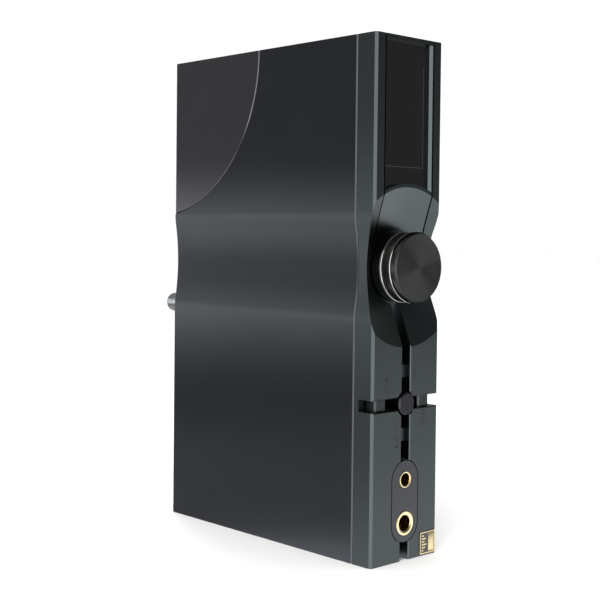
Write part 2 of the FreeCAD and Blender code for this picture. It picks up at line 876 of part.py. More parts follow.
def main_board():
    board = box(board_rear_x, board_front_x, board_y, board_face_y, board_low_z, board_high_z)
    for x, z in standoff_places():
        board = board.cut(cyl_y(board_y, board_face_y, x, z, screw_radius))
    return one_solid(board)


def board_standoffs():
    posts = []
    for x, z in standoff_places():
        post = cyl_y(board_face_y, inner_half, x, z, standoff_radius)
        posts.append(post.cut(cyl_y(board_face_y, board_face_y + standoff_hole, x, z, screw_radius)))
    return group(posts)


def board_screws():
    screws = []
    for x, z in standoff_places():
        head = cyl_y(board_y - board_screw_head, board_y, x, z, screw_head_radius)
        screws.append(head.fuse(cyl_y(board_y, board_face_y + screw_reach, x, z, screw_radius)))
    return group(screws)


def processor_shield():
    x0 = board_rear_x + shield_inset
    return box(x0, x0 + processor_shield_length, board_face_y, board_face_y + processor_shield_depth,
               processor_shield_z, processor_shield_z + processor_shield_height)


def radio_shield():
    x0 = board_rear_x + shield_inset
    z1 = board_high_z - radio_shield_drop
    return box(x0, x0 + radio_shield_length, board_face_y, board_face_y + radio_shield_depth,
               z1 - radio_shield_height, z1)


def dac_board():
    return box(board_rear_x, board_front_x, dac_y, dac_y + board_thickness,
               board_high_z - dac_height, board_high_z)


def dac_shield():
    x1 = board_front_x - shield_inset
    z0 = board_high_z - dac_height + dac_shield_rise
    return box(x1 - dac_shield_length, x1, dac_y - dac_shield_depth, dac_y, z0, z0 + dac_shield_height)


def filter_capacitors():
    z = board_high_z - capacitor_drop
    pitch = (board_front_x - board_rear_x) / (capacitor_count + 1)
    middles = [board_rear_x + pitch * (k + 1) for k in range(capacitor_count)]
    return group([cyl_y(dac_y - capacitor_length, dac_y, x, z, capacitor_radius) for x in middles])


def battery():
    cell = box(rear_inner_x + usb_depth, board_front_x - battery_front_gap, battery_skin_gap - inner_half,
               board_y - battery_board_gap, battery_low_z, battery_low_z + battery_height)
    upright = [edge for edge in cell.Edges if edge.BoundBox.ZLength > battery_height / 2]
    return one_solid(cell.makeFillet(battery_round, upright))


# ---- build --------------------------------------------------------------------------------
def casing_nodes():
    return {
        "side_cover_left": side_cover(-1),
        "side_cover_right": side_cover(1),
        "corner_insert": corner_insert(),
        "top_plate": end_plate(top_inner_z),
        "bottom_plate": end_plate(0.0),
        "rear_plate": rear_plate(),
        "rear_screws": rear_screws(),
        "front_panel": front_panel(),
        "panel_brackets": panel_brackets(),
        "panel_screws": panel_screws(),
        "display_bezel": display_bezel(),
        "display_glass": display_glass(),
        "display_module": display_module(),
        "display_flex": display_flex(),
        "badge_plate": badge_plate(),
    }


def socket_nodes():
    small = (socket_small_z, small_bore_radius, small_sleeve_radius, small_bore_length, small_mouth)
    large = (socket_large_z, large_bore_radius, large_sleeve_radius, large_bore_length, large_mouth)
    return {
        "jack_plate": jack_plate(),
        "jack_sleeve_small": socket_sleeve(*small),
        "jack_sleeve_large": socket_sleeve(*large),
        "jack_body_small": socket_body(socket_small_z, small_sleeve_radius, small_bore_length),
        "jack_body_large": socket_body(socket_large_z, large_sleeve_radius, large_bore_length),
        "antenna_connector": antenna_connector(),
        "antenna_nut": antenna_nut(),
        "usb_port": usb_port(),
        "usb_tongue": usb_tongue(),
        "card_socket": card_socket(),
    }


def control_nodes():
    nodes = {
        "volume_knob": volume_knob(),
        "knob_grip_ring": knob_grip_ring(),
        "knob_face_cap": knob_face_cap(),
        "knob_grub_screw": knob_grub_screw(),
        "encoder_shaft": encoder_shaft(),
        "encoder_housing": encoder_housing(),
        "encoder_bushing": encoder_bushing(),
        "encoder_washer": encoder_washer(),
        "encoder_nut": encoder_nut(),
        "centre_button": centre_button(),
        "centre_button_retainer": retainer(0.0, 0.0),
        "tact_switches": tact_switches(),
        "switch_board": switch_board(),
    }
    for name, (y, z) in key_places().items():
        nodes["key_" + name] = key(name)
        nodes["key_%s_retainer" % name] = retainer(y, z)
    return nodes


def electronics_nodes():
    return {
        "main_board": main_board(),
        "board_standoffs": board_standoffs(),
        "board_screws": board_screws(),
        "processor_shield": processor_shield(),
        "radio_shield": radio_shield(),
        "dac_board": dac_board(),
        "dac_shield": dac_shield(),
        "filter_capacitors": filter_capacitors(),
        "battery": battery(),
    }


def write_steps():
    os.makedirs("parts", exist_ok=True)
    for nodes in (casing_nodes(), socket_nodes(), control_nodes(), electronics_nodes()):
        for name, shape in nodes.items():
            if not shape.isValid():
                raise ValueError(name + " is not valid")
            shape.exportStep("parts/%s.step" % name)
            print("%-24s %2d solids %10.1f mm3" % (name, len(shape.Solids), shape.Volume))


write_steps()
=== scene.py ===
"""Looks of a desk-sized digital audio player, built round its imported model."""
import math

import bmesh
import bpy
from bpy.props import FloatProperty, FloatVectorProperty, IntProperty, PointerProperty
from mathutils import Matrix, Vector


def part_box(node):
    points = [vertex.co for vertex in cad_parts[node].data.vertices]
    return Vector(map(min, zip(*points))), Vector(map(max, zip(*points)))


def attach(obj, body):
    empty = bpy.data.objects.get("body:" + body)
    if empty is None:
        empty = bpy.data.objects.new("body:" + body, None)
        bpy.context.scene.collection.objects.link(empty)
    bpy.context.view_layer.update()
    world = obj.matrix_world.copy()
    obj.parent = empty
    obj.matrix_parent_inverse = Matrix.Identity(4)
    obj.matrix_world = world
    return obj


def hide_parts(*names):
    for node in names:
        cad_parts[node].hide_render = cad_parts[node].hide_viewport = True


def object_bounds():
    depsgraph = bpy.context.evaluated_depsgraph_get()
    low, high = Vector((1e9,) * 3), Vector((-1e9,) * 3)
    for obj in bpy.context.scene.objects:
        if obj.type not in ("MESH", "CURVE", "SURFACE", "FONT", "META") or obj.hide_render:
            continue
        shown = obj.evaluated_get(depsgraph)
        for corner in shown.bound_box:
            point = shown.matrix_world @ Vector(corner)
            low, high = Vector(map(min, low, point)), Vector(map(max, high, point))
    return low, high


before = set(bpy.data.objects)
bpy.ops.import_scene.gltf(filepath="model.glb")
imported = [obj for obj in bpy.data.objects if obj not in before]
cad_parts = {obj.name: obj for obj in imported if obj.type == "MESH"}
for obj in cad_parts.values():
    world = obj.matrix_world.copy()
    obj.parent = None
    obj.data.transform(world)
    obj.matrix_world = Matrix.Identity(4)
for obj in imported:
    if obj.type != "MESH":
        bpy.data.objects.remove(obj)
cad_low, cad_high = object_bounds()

bl_info = {
    "name": "Digital Audio Player",
    "version": (1, 0, 0),
    "blender": (4, 5, 0),
    "location": "3D View > Sidebar > Player",
    "description": "Finishes and fine parts of an audio player: casing, knob, keys, sockets, display, studio",
    "category": "Object",
}

MM = 0.001
CASE = "player_body"
KNOB = "knob"
QUARTER_TURN = 0.25         # anisotropic rotation counts whole turns

# The covers carry painted shade along the hollow of the waist, a darker colour standing in for
# a dark reflection: the height of its middle, how far the darkest band and the fade reach from
# there, in millimetres, and the darkest share of the dye.
PAINTED_SHADE_Z, PAINTED_SHADE_BAND, PAINTED_SHADE_FADE, PAINTED_SHADE_SHARE = 83.5, 1.0, 12.5, 0.48


# ---- numbers ------------------------------------------------------------------------------

def linear(hex_colour):
    """An sRGB hex colour as linear red, green and blue."""
    parts = [int(hex_colour[i:i + 2], 16) / 255 for i in (1, 3, 5)]
    return tuple(c / 12.92 if c <= 0.04045 else ((c + 0.055) / 1.055) ** 2.4 for c in parts)


def rgba(colour, factor=1.0):
    """A linear colour with alpha, made darker or lighter by a factor."""
    return (*(min(1.0, c * factor) for c in colour[:3]), 1.0)


def cells(size_mm):
    """Scale of a noise or cell texture with features size_mm across, on coordinates in metres."""
    return 1.0 / (size_mm * MM)


def bands(pitch_mm):
    """Scale of a wave texture with bands pitch_mm apart, on coordinates in metres."""
    return 2 * math.pi / (20 * pitch_mm * MM)


def box_mm(node):
    """Lowest and highest corner of a CAD node, in millimetres."""
    low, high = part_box(node)
    return low / MM, high / MM


# ---- node materials -----------------------------------------------------------------------

def add_node(tree, kind, settings=None, inputs=None):
    """Adds one node. settings are its own properties. inputs are socket values, or a node to link
    from: its first output, or (node, output) for another one."""
    node = tree.nodes.new(kind)
    for name, value in (settings or {}).items():
        setattr(node, name, value)
    for key, value in (inputs or {}).items():
        paired = isinstance(value, tuple) and isinstance(value[0], bpy.types.Node)
        source, output = value if paired else (value, 0)
        if isinstance(source, bpy.types.Node):
            tree.links.new(source.outputs[output], node.inputs[key])
        else:
            node.inputs[key].default_value = value
    return node


def empty_material(name):
    material = bpy.data.materials.new(name)
    material.use_nodes = True
    material.node_tree.nodes.clear()
    return material, material.node_tree


def blasted_aluminium(name, colour, roughness, grit_mm, relief_mm, speckle, painted_shade_z_mm=None):
    """Aluminium, bead blasted, then anodised and dyed. The beads leave a close, even grain and a
    satin sheen; the dye tints the reflection and drifts a little over the part. painted_shade_z_mm is
    the height of a band of painted shade across it, a darker colour standing in for a dark reflection."""
    # Real grit marks are 0.1 mm across; grit_mm is coarser, so that the grain shows at all.
    material, tree = empty_material(name)
    place = (add_node(tree, "ShaderNodeTexCoord"), "Object")
    grain = add_node(tree, "ShaderNodeTexNoise", {}, {
        "Vector": place, "Scale": cells(grit_mm), "Detail": 3.0, "Roughness": 0.65})
    drift = add_node(tree, "ShaderNodeTexNoise", {}, {
        "Vector": place, "Scale": cells(22.0), "Detail": 1.0})
    dyed = add_node(tree, "ShaderNodeMix", {"data_type": "RGBA"}, {
        0: drift, 6: rgba(colour, 0.93), 7: rgba(colour, 1.07)})
    grain_level = add_node(tree, "ShaderNodeMapRange", {}, {
        "Value": grain, "From Min": 0.3, "From Max": 0.7, "To Min": 0.0, "To Max": 1.0})
    grain_tint = add_node(tree, "ShaderNodeMix", {"data_type": "RGBA"}, {
        0: grain_level, 6: rgba((1, 1, 1), 1 - speckle), 7: rgba((1, 1, 1))})
    tinted = add_node(tree, "ShaderNodeMix", {"data_type": "RGBA", "blend_type": "MULTIPLY"}, {
        0: 1.0, 6: (dyed, 2), 7: (grain_tint, 2)})
    sheen = add_node(tree, "ShaderNodeMapRange", {}, {
        "Value": grain, "From Min": 0.3, "From Max": 0.7,
        "To Min": roughness * 0.92, "To Max": roughness * 1.08})
    relief = add_node(tree, "ShaderNodeBump", {}, {
        "Height": grain, "Distance": relief_mm * MM, "Strength": 1.0})
    # Painted shade: the colour darkens toward the middle of the waist, standing in for a dark reflection.
    if painted_shade_z_mm:
        parts = add_node(tree, "ShaderNodeSeparateXYZ", {}, {0: place})
        above = add_node(tree, "ShaderNodeMath", {"operation": "SUBTRACT"}, {
            0: (parts, "Z"), 1: painted_shade_z_mm * MM})
        away = add_node(tree, "ShaderNodeMath", {"operation": "ABSOLUTE"}, {0: above})
        painted_waist_shade = add_node(tree, "ShaderNodeMapRange", {"interpolation_type": "SMOOTHSTEP"}, {
            "Value": away, "From Min": PAINTED_SHADE_BAND * MM, "From Max": PAINTED_SHADE_FADE * MM,
            "To Min": PAINTED_SHADE_SHARE, "To Max": 1.0})
        tinted = add_node(tree, "ShaderNodeMix", {"data_type": "RGBA", "blend_type": "MULTIPLY"}, {
            0: 1.0, 6: (tinted, 2), 7: painted_waist_shade})
    shader = add_node(tree, "ShaderNodeBsdfPrincipled", {}, {
        "Metallic": 1.0, "Base Color": (tinted, 2), "Roughness": sheen, "Normal": relief})
    add_node(tree, "ShaderNodeOutputMaterial", {}, {"Surface": shader})
    return material


def turned_metal(name, colour, roughness, anisotropy, y, z, pitch_mm, relief_mm):
    """Metal faced on a lathe, about an axis along X at y, z: fine rings that stretch highlights into
    bright fans from the centre."""
    # Tool marks of 0.05 mm can't show; pitch_mm is coarser and the anisotropy stands for the rest.
    material, tree = empty_material(name)
    place = (add_node(tree, "ShaderNodeTexCoord"), "Object")
    centred = add_node(tree, "ShaderNodeVectorMath", {"operation": "SUBTRACT"}, {
        0: place, 1: (0.0, y * MM, z * MM)})
    rings = add_node(tree, "ShaderNodeTexWave", {
        "wave_type": "RINGS", "rings_direction": "X", "wave_profile": "SIN"}, {
        "Vector": centred, "Scale": bands(pitch_mm), "Distortion": 0.6, "Detail": 1.0,
        "Detail Scale": 0.4})
    streaks = add_node(tree, "ShaderNodeTexNoise", {}, {
        "Vector": place, "Scale": cells(1.6), "Detail": 2.0})
    tint = add_node(tree, "ShaderNodeMix", {"data_type": "RGBA"}, {
        0: rings, 6: rgba(colour, 0.93), 7: rgba(colour, 1.07)})
    sheen = add_node(tree, "ShaderNodeMapRange", {}, {
        "Value": streaks, "From Min": 0.3, "From Max": 0.7,
        "To Min": roughness * 0.93, "To Max": roughness * 1.07})
    relief = add_node(tree, "ShaderNodeBump", {}, {
        "Height": rings, "Distance": relief_mm * MM, "Strength": 1.0})
    around = add_node(tree, "ShaderNodeTangent", {"direction_type": "RADIAL", "axis": "X"})
    shader = add_node(tree, "ShaderNodeBsdfPrincipled", {}, {
        "Metallic": 1.0, "Base Color": (tint, 2), "Roughness": sheen, "Normal": relief,
        "Anisotropic": anisotropy, "Anisotropic Rotation": QUARTER_TURN, "Tangent": around})
    add_node(tree, "ShaderNodeOutputMaterial", {}, {"Surface": shader})
    return material


def plated_metal(name, colour, roughness, tarnish, bump_mm=0.0006):
    """Metal with a bright plated skin, gold or chromium: nearly a mirror, with faint cloudiness and
    the thin polishing marks that stay under the plating."""
    material, tree = empty_material(name)
    place = (add_node(tree, "ShaderNodeTexCoord"), "Object")
    cloud = add_node(tree, "ShaderNodeTexNoise", {}, {
        "Vector": place, "Scale": cells(1.2), "Detail": 3.0})
    marks = add_node(tree, "ShaderNodeTexNoise", {}, {
        "Vector": place, "Scale": cells(0.25), "Detail": 2.0})
    tint = add_node(tree, "ShaderNodeMix", {"data_type": "RGBA"}, {
        0: cloud, 6: rgba(colour), 7: rgba(tarnish)})
    sheen = add_node(tree, "ShaderNodeMapRange", {}, {
        "Value": cloud, "From Min": 0.3, "From Max": 0.7,
        "To Min": roughness * 0.8, "To Max": roughness * 1.25})
    relief = add_node(tree, "ShaderNodeBump", {}, {
        "Height": marks, "Distance": bump_mm * MM, "Strength": 1.0})
    shader = add_node(tree, "ShaderNodeBsdfPrincipled", {}, {
        "Metallic": 1.0, "Base Color": (tint, 2), "Roughness": sheen, "Normal": relief})
    add_node(tree, "ShaderNodeOutputMaterial", {}, {"Surface": shader})
    return material


def cover_glass(name, colour):
    """Toughened glass, polished, printed black behind: deep and glossy, with a faint finger haze."""
    material, tree = empty_material(name)
    place = (add_node(tree, "ShaderNodeTexCoord"), "Object")
    haze = add_node(tree, "ShaderNodeTexNoise", {}, {
        "Vector": place, "Scale": cells(9.0), "Detail": 4.0, "Roughness": 0.6})
    sheen = add_node(tree, "ShaderNodeMapRange", {}, {
        "Value": haze, "From Min": 0.35, "From Max": 0.75, "To Min": 0.03, "To Max": 0.1})
    depth = add_node(tree, "ShaderNodeMix", {"data_type": "RGBA"}, {
        0: haze, 6: rgba(colour, 0.85), 7: rgba(colour, 1.15)})
    shader = add_node(tree, "ShaderNodeBsdfPrincipled", {}, {
        "Base Color": (depth, 2), "Roughness": sheen, "IOR": 1.52})
    add_node(tree, "ShaderNodeOutputMaterial", {}, {"Surface": shader})
    return material


def moulded_plastic(name, colour, roughness, grain_mm, relief_mm):
    """Plastic from an etched mould, such as ABS or a liquid-crystal polymer: a fine matt grain."""
    material, tree = empty_material(name)
    place = (add_node(tree, "ShaderNodeTexCoord"), "Object")
    grain = add_node(tree, "ShaderNodeTexVoronoi", {"feature": "SMOOTH_F1"}, {
        "Vector": place, "Scale": cells(grain_mm)})
    cloud = add_node(tree, "ShaderNodeTexNoise", {}, {
        "Vector": place, "Scale": cells(6.0), "Detail": 2.0})
    tint = add_node(tree, "ShaderNodeMix", {"data_type": "RGBA"}, {
        0: cloud, 6: rgba(colour, 0.85), 7: rgba(colour, 1.15)})
    sheen = add_node(tree, "ShaderNodeMapRange", {}, {
        "Value": cloud, "From Min": 0.3, "From Max": 0.7,
        "To Min": roughness * 0.9, "To Max": roughness * 1.1})
    relief = add_node(tree, "ShaderNodeBump", {}, {
        "Height": grain, "Distance": relief_mm * MM, "Strength": 0.6})
    shader = add_node(tree, "ShaderNodeBsdfPrincipled", {}, {
        "Base Color": (tint, 2), "Roughness": sheen, "Normal": relief, "IOR": 1.53})
    add_node(tree, "ShaderNodeOutputMaterial", {}, {"Surface": shader})
    return material


def laminate_board(name, mask_colour, track_colour):
    """FR4, glass and epoxy laminate under a solder mask: tracks show as raised, lighter runs."""
    material, tree = empty_material(name)
    place = (add_node(tree, "ShaderNodeTexCoord"), "Object")
    turned = add_node(tree, "ShaderNodeMapping", {}, {
        "Vector": place, "Rotation": (math.pi / 2, 0, 0)})
    tracks = add_node(tree, "ShaderNodeTexBrick", {
        "offset": 0.37, "squash": 0.6, "squash_frequency": 3}, {
        "Vector": turned, "Color1": rgba(mask_colour, 0.8), "Color2": rgba(mask_colour),
        "Mortar": rgba(track_colour), "Scale": cells(1.0), "Mortar Size": 0.12, "Mortar Smooth": 0.3,
        "Brick Width": 3.4, "Row Height": 0.8})
    weave = add_node(tree, "ShaderNodeTexNoise", {}, {
        "Vector": place, "Scale": cells(0.5), "Detail": 2.0})
    height = add_node(tree, "ShaderNodeMath", {"operation": "MULTIPLY_ADD"}, {
        0: weave, 1: 0.2, 2: (tracks, "Fac")})
    relief = add_node(tree, "ShaderNodeBump", {}, {"Height": height, "Distance": 0.035 * MM})
    shader = add_node(tree, "ShaderNodeBsdfPrincipled", {}, {
        "Base Color": tracks, "Roughness": 0.35, "Normal": relief, "IOR": 1.55})
    add_node(tree, "ShaderNodeOutputMaterial", {}, {"Surface": shader})
    return material


def banded_film(name, colour, band_colour, pitch_mm, direction, roughness, metallic=0.0):
    """Thin film over a part, with bands at a fixed pitch: copper runs in polyimide, a printed sleeve,
    or the creases of a foil pouch."""
    material, tree = empty_material(name)
    place = (add_node(tree, "ShaderNodeTexCoord"), "Object")
    wave = add_node(tree, "ShaderNodeTexWave", {"bands_direction": direction}, {
        "Vector": place, "Scale": bands(pitch_mm), "Distortion": 0.8, "Detail": 2.0,
        "Detail Scale": 1.5})
    wrinkle = add_node(tree, "ShaderNodeTexNoise", {}, {
        "Vector": place, "Scale": cells(4.0), "Detail": 3.0})
    tint = add_node(tree, "ShaderNodeMix", {"data_type": "RGBA"}, {
        0: wave, 6: rgba(colour), 7: rgba(band_colour)})
    relief = add_node(tree, "ShaderNodeBump", {}, {
        "Height": wrinkle, "Distance": 0.15 * MM, "Strength": 0.5})
    shader = add_node(tree, "ShaderNodeBsdfPrincipled", {}, {
        "Base Color": (tint, 2), "Roughness": roughness, "Metallic": metallic, "Normal": relief})
    add_node(tree, "ShaderNodeOutputMaterial", {}, {"Surface": shader})
    return material


def laser_mark_and_painted_edge(name, colour):
    """Laser-marked oxide: matt and a little uneven, with no gloss. Also the material of the painted
    highlight along the display's picture area.
    """
    material, tree = empty_material(name)
    place = (add_node(tree, "ShaderNodeTexCoord"), "Object")
    burn = add_node(tree, "ShaderNodeTexNoise", {}, {
        "Vector": place, "Scale": cells(0.2), "Detail": 2.0})
    tint = add_node(tree, "ShaderNodeMix", {"data_type": "RGBA"}, {
        0: burn, 6: rgba(colour, 0.8), 7: rgba(colour, 1.2)})
    shader = add_node(tree, "ShaderNodeBsdfPrincipled", {}, {"Base Color": (tint, 2), "Roughness": 0.7})
    add_node(tree, "ShaderNodeOutputMaterial", {}, {"Surface": shader})
    return material


# ---- mesh pieces --------------------------------------------------------------------------

def piece(name, shape, material, body=CASE, stands_for=(), sharp_deg=32.0, weighted=True):
    """Turns a bmesh into a piece that rides on a body and takes a material."""
    mesh = bpy.data.meshes.new(name)
    bmesh.ops.recalc_face_normals(shape, faces=shape.faces)
    shape.to_mesh(mesh)
    shape.free()
    mesh.shade_smooth()
    mesh.set_sharp_from_angle(angle=math.radians(sharp_deg))
    mesh.materials.append(material)
    made = bpy.data.objects.new(name, mesh)
    bpy.context.scene.collection.objects.link(made)
    if weighted:
        flat_first = made.modifiers.new("flat faces keep flat shading", "WEIGHTED_NORMAL")
        flat_first.keep_sharp = True
    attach(made, body)
    if stands_for:
        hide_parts(*stands_for)
    return made


def turn(shape, profile, y=0.0, z=0.0, steps=128, closed=False, teeth=0, stretch_z=0.0):
    """Adds a turned form about an axis along X at y, z (millimetres). profile is (x, radius) from
    end to end, or (x, radius, tooth depth) for a knurl of that many teeth. A radius of 0 ends on the
    axis, closed joins the last point to the first, and stretch_z pulls the circle into a slot."""
    count = teeth * 4 if teeth else steps
    tooth = (0.0, 0.55, 1.0, 0.55)
    rings = []
    for x, radius, *depth in profile:
        if radius <= 0:
            rings.append([shape.verts.new((x * MM, y * MM, z * MM))])
            continue
        ring = []
        for i in range(count):
            angle = 2 * math.pi * (i + 0.5) / count
            r = radius - (depth[0] * tooth[i % 4] if depth else 0.0)
            rise = math.copysign(stretch_z, math.sin(angle)) if stretch_z else 0.0
            ring.append(shape.verts.new((
                x * MM, (y + r * math.cos(angle)) * MM, (z + rise + r * math.sin(angle)) * MM)))
        rings.append(ring)
    pairs = list(zip(rings, rings[1:]))
    if closed:
        pairs.append((rings[-1], rings[0]))
    for first, second in pairs:
        for i in range(count):
            j = (i + 1) % count
            corners = (first[i % len(first)], first[j % len(first)],
                       second[j % len(second)], second[i % len(second)])
            unique = list(dict.fromkeys(corners))
            if len(unique) > 2:
                shape.faces.new(unique)
    return shape


def slab(shape, outline, x_back, x_front, edge=0.0):
    """Adds a flat slab with an outline of (y, z) points in millimetres, between two x; edge bevels
    the rim of its front."""
    back = [shape.verts.new((x_back * MM, y * MM, z * MM)) for y, z in outline]
    front = [shape.verts.new((x_front * MM, y * MM, z * MM)) for y, z in outline]
    shape.faces.new(back)
    lid = shape.faces.new(front)
    for i in range(len(outline)):
        j = (i + 1) % len(outline)
        shape.faces.new((back[i], back[j], front[j], front[i]))
    if edge:
        bmesh.ops.recalc_face_normals(shape, faces=shape.faces)
        bmesh.ops.bevel(shape, geom=list(lid.edges), offset=edge * MM, segments=2, profile=0.5,
                        affect="EDGES", clamp_overlap=True)
    return shape


def block(shape, low, high, edge=0.0):
    """Adds a block between two corners in millimetres, with rounded edges."""
    made = bmesh.ops.create_cube(shape, size=1.0)["verts"]
    low, high = Vector(low), Vector(high)
    for vert in made:
        vert.co = Vector([(low[k] if vert.co[k] < 0 else high[k]) * MM for k in range(3)])
    if edge:
        edges = list({e for v in made for e in v.link_edges})
        bmesh.ops.bevel(shape, geom=edges, offset=edge * MM, segments=2, profile=0.5,
                        affect="EDGES", clamp_overlap=True)
    return shape


def rectangle(y, z, width, height, turn_deg=0.0):
    """Outline of a rectangle round a centre."""
    cos, sin = math.cos(math.radians(turn_deg)), math.sin(math.radians(turn_deg))
    corners = ((-1, -1), (1, -1), (1, 1), (-1, 1))
    return [(y + (a * width * cos - b * height * sin) / 2,
             z + (a * width * sin + b * height * cos) / 2) for a, b in corners]


def arc_band(y, z, radius, width, start_deg, end_deg, steps=20):
    """Outline of part of a ring."""
    turns = [math.radians(start_deg + (end_deg - start_deg) * i / steps) for i in range(steps + 1)]
    outer, inner = ([(y + r * math.cos(t), z + r * math.sin(t)) for t in turns]
                    for r in (radius + width / 2, radius - width / 2))
    return outer + inner[::-1]


def mesh_of(name, shape, material):
    """Turns a bmesh into a mesh with one material."""
    mesh = bpy.data.meshes.new(name)
    shape.to_mesh(mesh)
    shape.free()
    mesh.materials.append(material)
    return mesh


def shade_of(colour, factor):
    """A linear colour made darker by a factor."""
    return tuple(c * factor for c in colour[:3])


def finish(material, *nodes):
    """Gives CAD nodes their material."""
    for name in nodes:
        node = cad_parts[name]
        if not node.material_slots:
            node.data.materials.append(material)
        for held in node.material_slots:
            held.material = material


# ---- settings -----------------------------------------------------------------------------

def colour_property(name, description, hex_colour):
    """A colour, with its default as an sRGB hex value."""
    return FloatVectorProperty(name=name, description=description, subtype="COLOR", size=3,
                               min=0.0, max=1.0, default=linear(hex_colour))


def length_property(name, description, default, low=0.001, high=50.0):
    """A length in millimetres."""
    return FloatProperty(name=name, description=description, default=default, min=low, max=high,
                         precision=3, subtype="NONE")


class CasingSettings(bpy.types.PropertyGroup):
    cover: colour_property("Covers", "Dye of the broad side covers", "#404246")
    insert: colour_property("Insert", "Dye of the corner insert", "#535458")
    ends: colour_property("Ends", "Dye of the end and rear plates", "#3F4247")
    panel: colour_property("Panel", "Dye of the control panel", "#4A5051")
    cover_roughness: FloatProperty(name="Cover roughness", description="Satin of the covers",
                                   default=0.17, min=0.05, max=1.0, subtype="FACTOR")
    panel_roughness: FloatProperty(name="Panel roughness", description="Blast finish of the panel",
                                   default=0.36, min=0.05, max=1.0, subtype="FACTOR")
    grit: length_property("Grit", "Grain of the blasted panel in millimetres, coarsened to show", 0.42)


class ControlSettings(bpy.types.PropertyGroup):
    knob_base: colour_property("Knob", "Dye of the knob's base and face", "#454646")
    knob_grip: colour_property("Grip", "Dye of the knurled grip", "#4A4643")
    trim: colour_property("Trim", "Bare metal of the two thin rings", "#A2A4A5")
    button: colour_property("Button", "Dye of the centre button", "#343338")
    key: colour_property("Keys", "Dye of the four keys", "#3C3F40")
    marking: colour_property("Marks", "Laser marks beside the keys", "#0D1011")
    knurl_teeth: IntProperty(name="Knurl teeth", description="Teeth round the grip", default=112,
                             min=60, max=240)
    knurl_depth: length_property("Knurl depth", "Depth of the knurl in millimetres", 0.24)
    trim_width: length_property("Trim width", "Width of the rear trim ring in millimetres", 0.25)


class SocketSettings(bpy.types.PropertyGroup):
    plate: colour_property("Socket plate", "Dye of the slotted socket plate", "#48494C")
    gold: colour_property("Gold", "Plating of the socket rings", "#EBDCB6")
    gold_shadow: colour_property("Gold, worn", "Plating where it is thin", "#D6BF90")
    badge_field: colour_property("Badge", "Enamel field of the badge", "#2B2620")


class DisplaySettings(bpy.types.PropertyGroup):
    glass: colour_property("Glass", "Body colour of the printed cover glass", "#050607")
    # Colour of the painted highlight along the picture area's edge.
    painted_edge_highlight: colour_property("Border", "Edge line of the picture area", "#3A4142")
    border_inset: length_property("Border inset", "Window to picture area, in millimetres", 0.9)


class RearSettings(bpy.types.PropertyGroup):
    chrome: colour_property("Chrome", "Antenna stub and port shell", "#A6A8AB")
    steel: colour_property("Steel", "Screws and small hardware", "#8C8D8F")


class StudioSettings(bpy.types.PropertyGroup):
    paper: colour_property("Floor", "Seamless paper under the player", "#FDFDFC")
    surround: FloatProperty(name="Surround", description="Strength of the even light", default=1.04,
                            min=0.0, max=5.0)
    key_power: FloatProperty(name="Key light", description="Power of the large soft light, in watts",
                             default=6.0, min=0.0, max=200.0, subtype="POWER")
    tent: FloatProperty(name="Tent", description="Strength of the graded tent that metal reflects",
                        default=1.0, min=0.0, max=5.0)
    lens: FloatProperty(name="Lens", description="Focal length", default=70.18, min=20.0, max=300.0,
                        subtype="DISTANCE_CAMERA", unit="CAMERA")
    azimuth: FloatProperty(name="Azimuth", description="Camera angle round the player",
                           default=math.radians(46.87), subtype="ANGLE")
    elevation: FloatProperty(name="Elevation", description="Camera angle above the horizon",
                             default=math.radians(1.55), subtype="ANGLE")
    roll: FloatProperty(name="Roll", description="Camera tilt about its own axis",
                        default=math.radians(0.611), subtype="ANGLE")
    distance: FloatProperty(name="Distance", description="From the camera to the point it aims at",
                            default=0.36804, min=0.05, subtype="DISTANCE", unit="LENGTH")


# ---- casing -------------------------------------------------------------------------------

class PLAYER_OT_casing(bpy.types.Operator):
    """Finish the covers, corner insert, end plates, rear plate and control panel"""
    bl_idname = "player.casing"
    bl_label = "Casing"

    def execute(self, context):
        s = context.scene.player_casing
        # Aluminium, fine-blasted and anodised blue-black: a soft mirror with broad gradients.
        # The covers' colour is darkened across the waist: painted shade.
        finish(blasted_aluminium("anodised_cover_painted_waist_shade", s.cover, s.cover_roughness, 0.4, 0.0006, 0.03,
                                 PAINTED_SHADE_Z), "side_cover_left", "side_cover_right")
        # The insert is dyed a little warmer than the covers.
        finish(blasted_aluminium("anodised_insert", s.insert, s.cover_roughness * 1.1, 0.4, 0.0006,
                                 0.03), "corner_insert")
        finish(blasted_aluminium("anodised_end", s.ends, s.cover_roughness * 1.4, 0.4, 0.0012, 0.05),
               "top_plate", "bottom_plate", "rear_plate", "panel_brackets")
        # Machined from bar, then blasted with coarser beads: teal-grey with a visible grain.
        finish(blasted_aluminium("blasted_panel", s.panel, s.panel_roughness, s.grit, 0.006, 0.2),
               "front_panel")
        return {"FINISHED"}


# ---- knob, button and keys ----------------------------------------------------------------

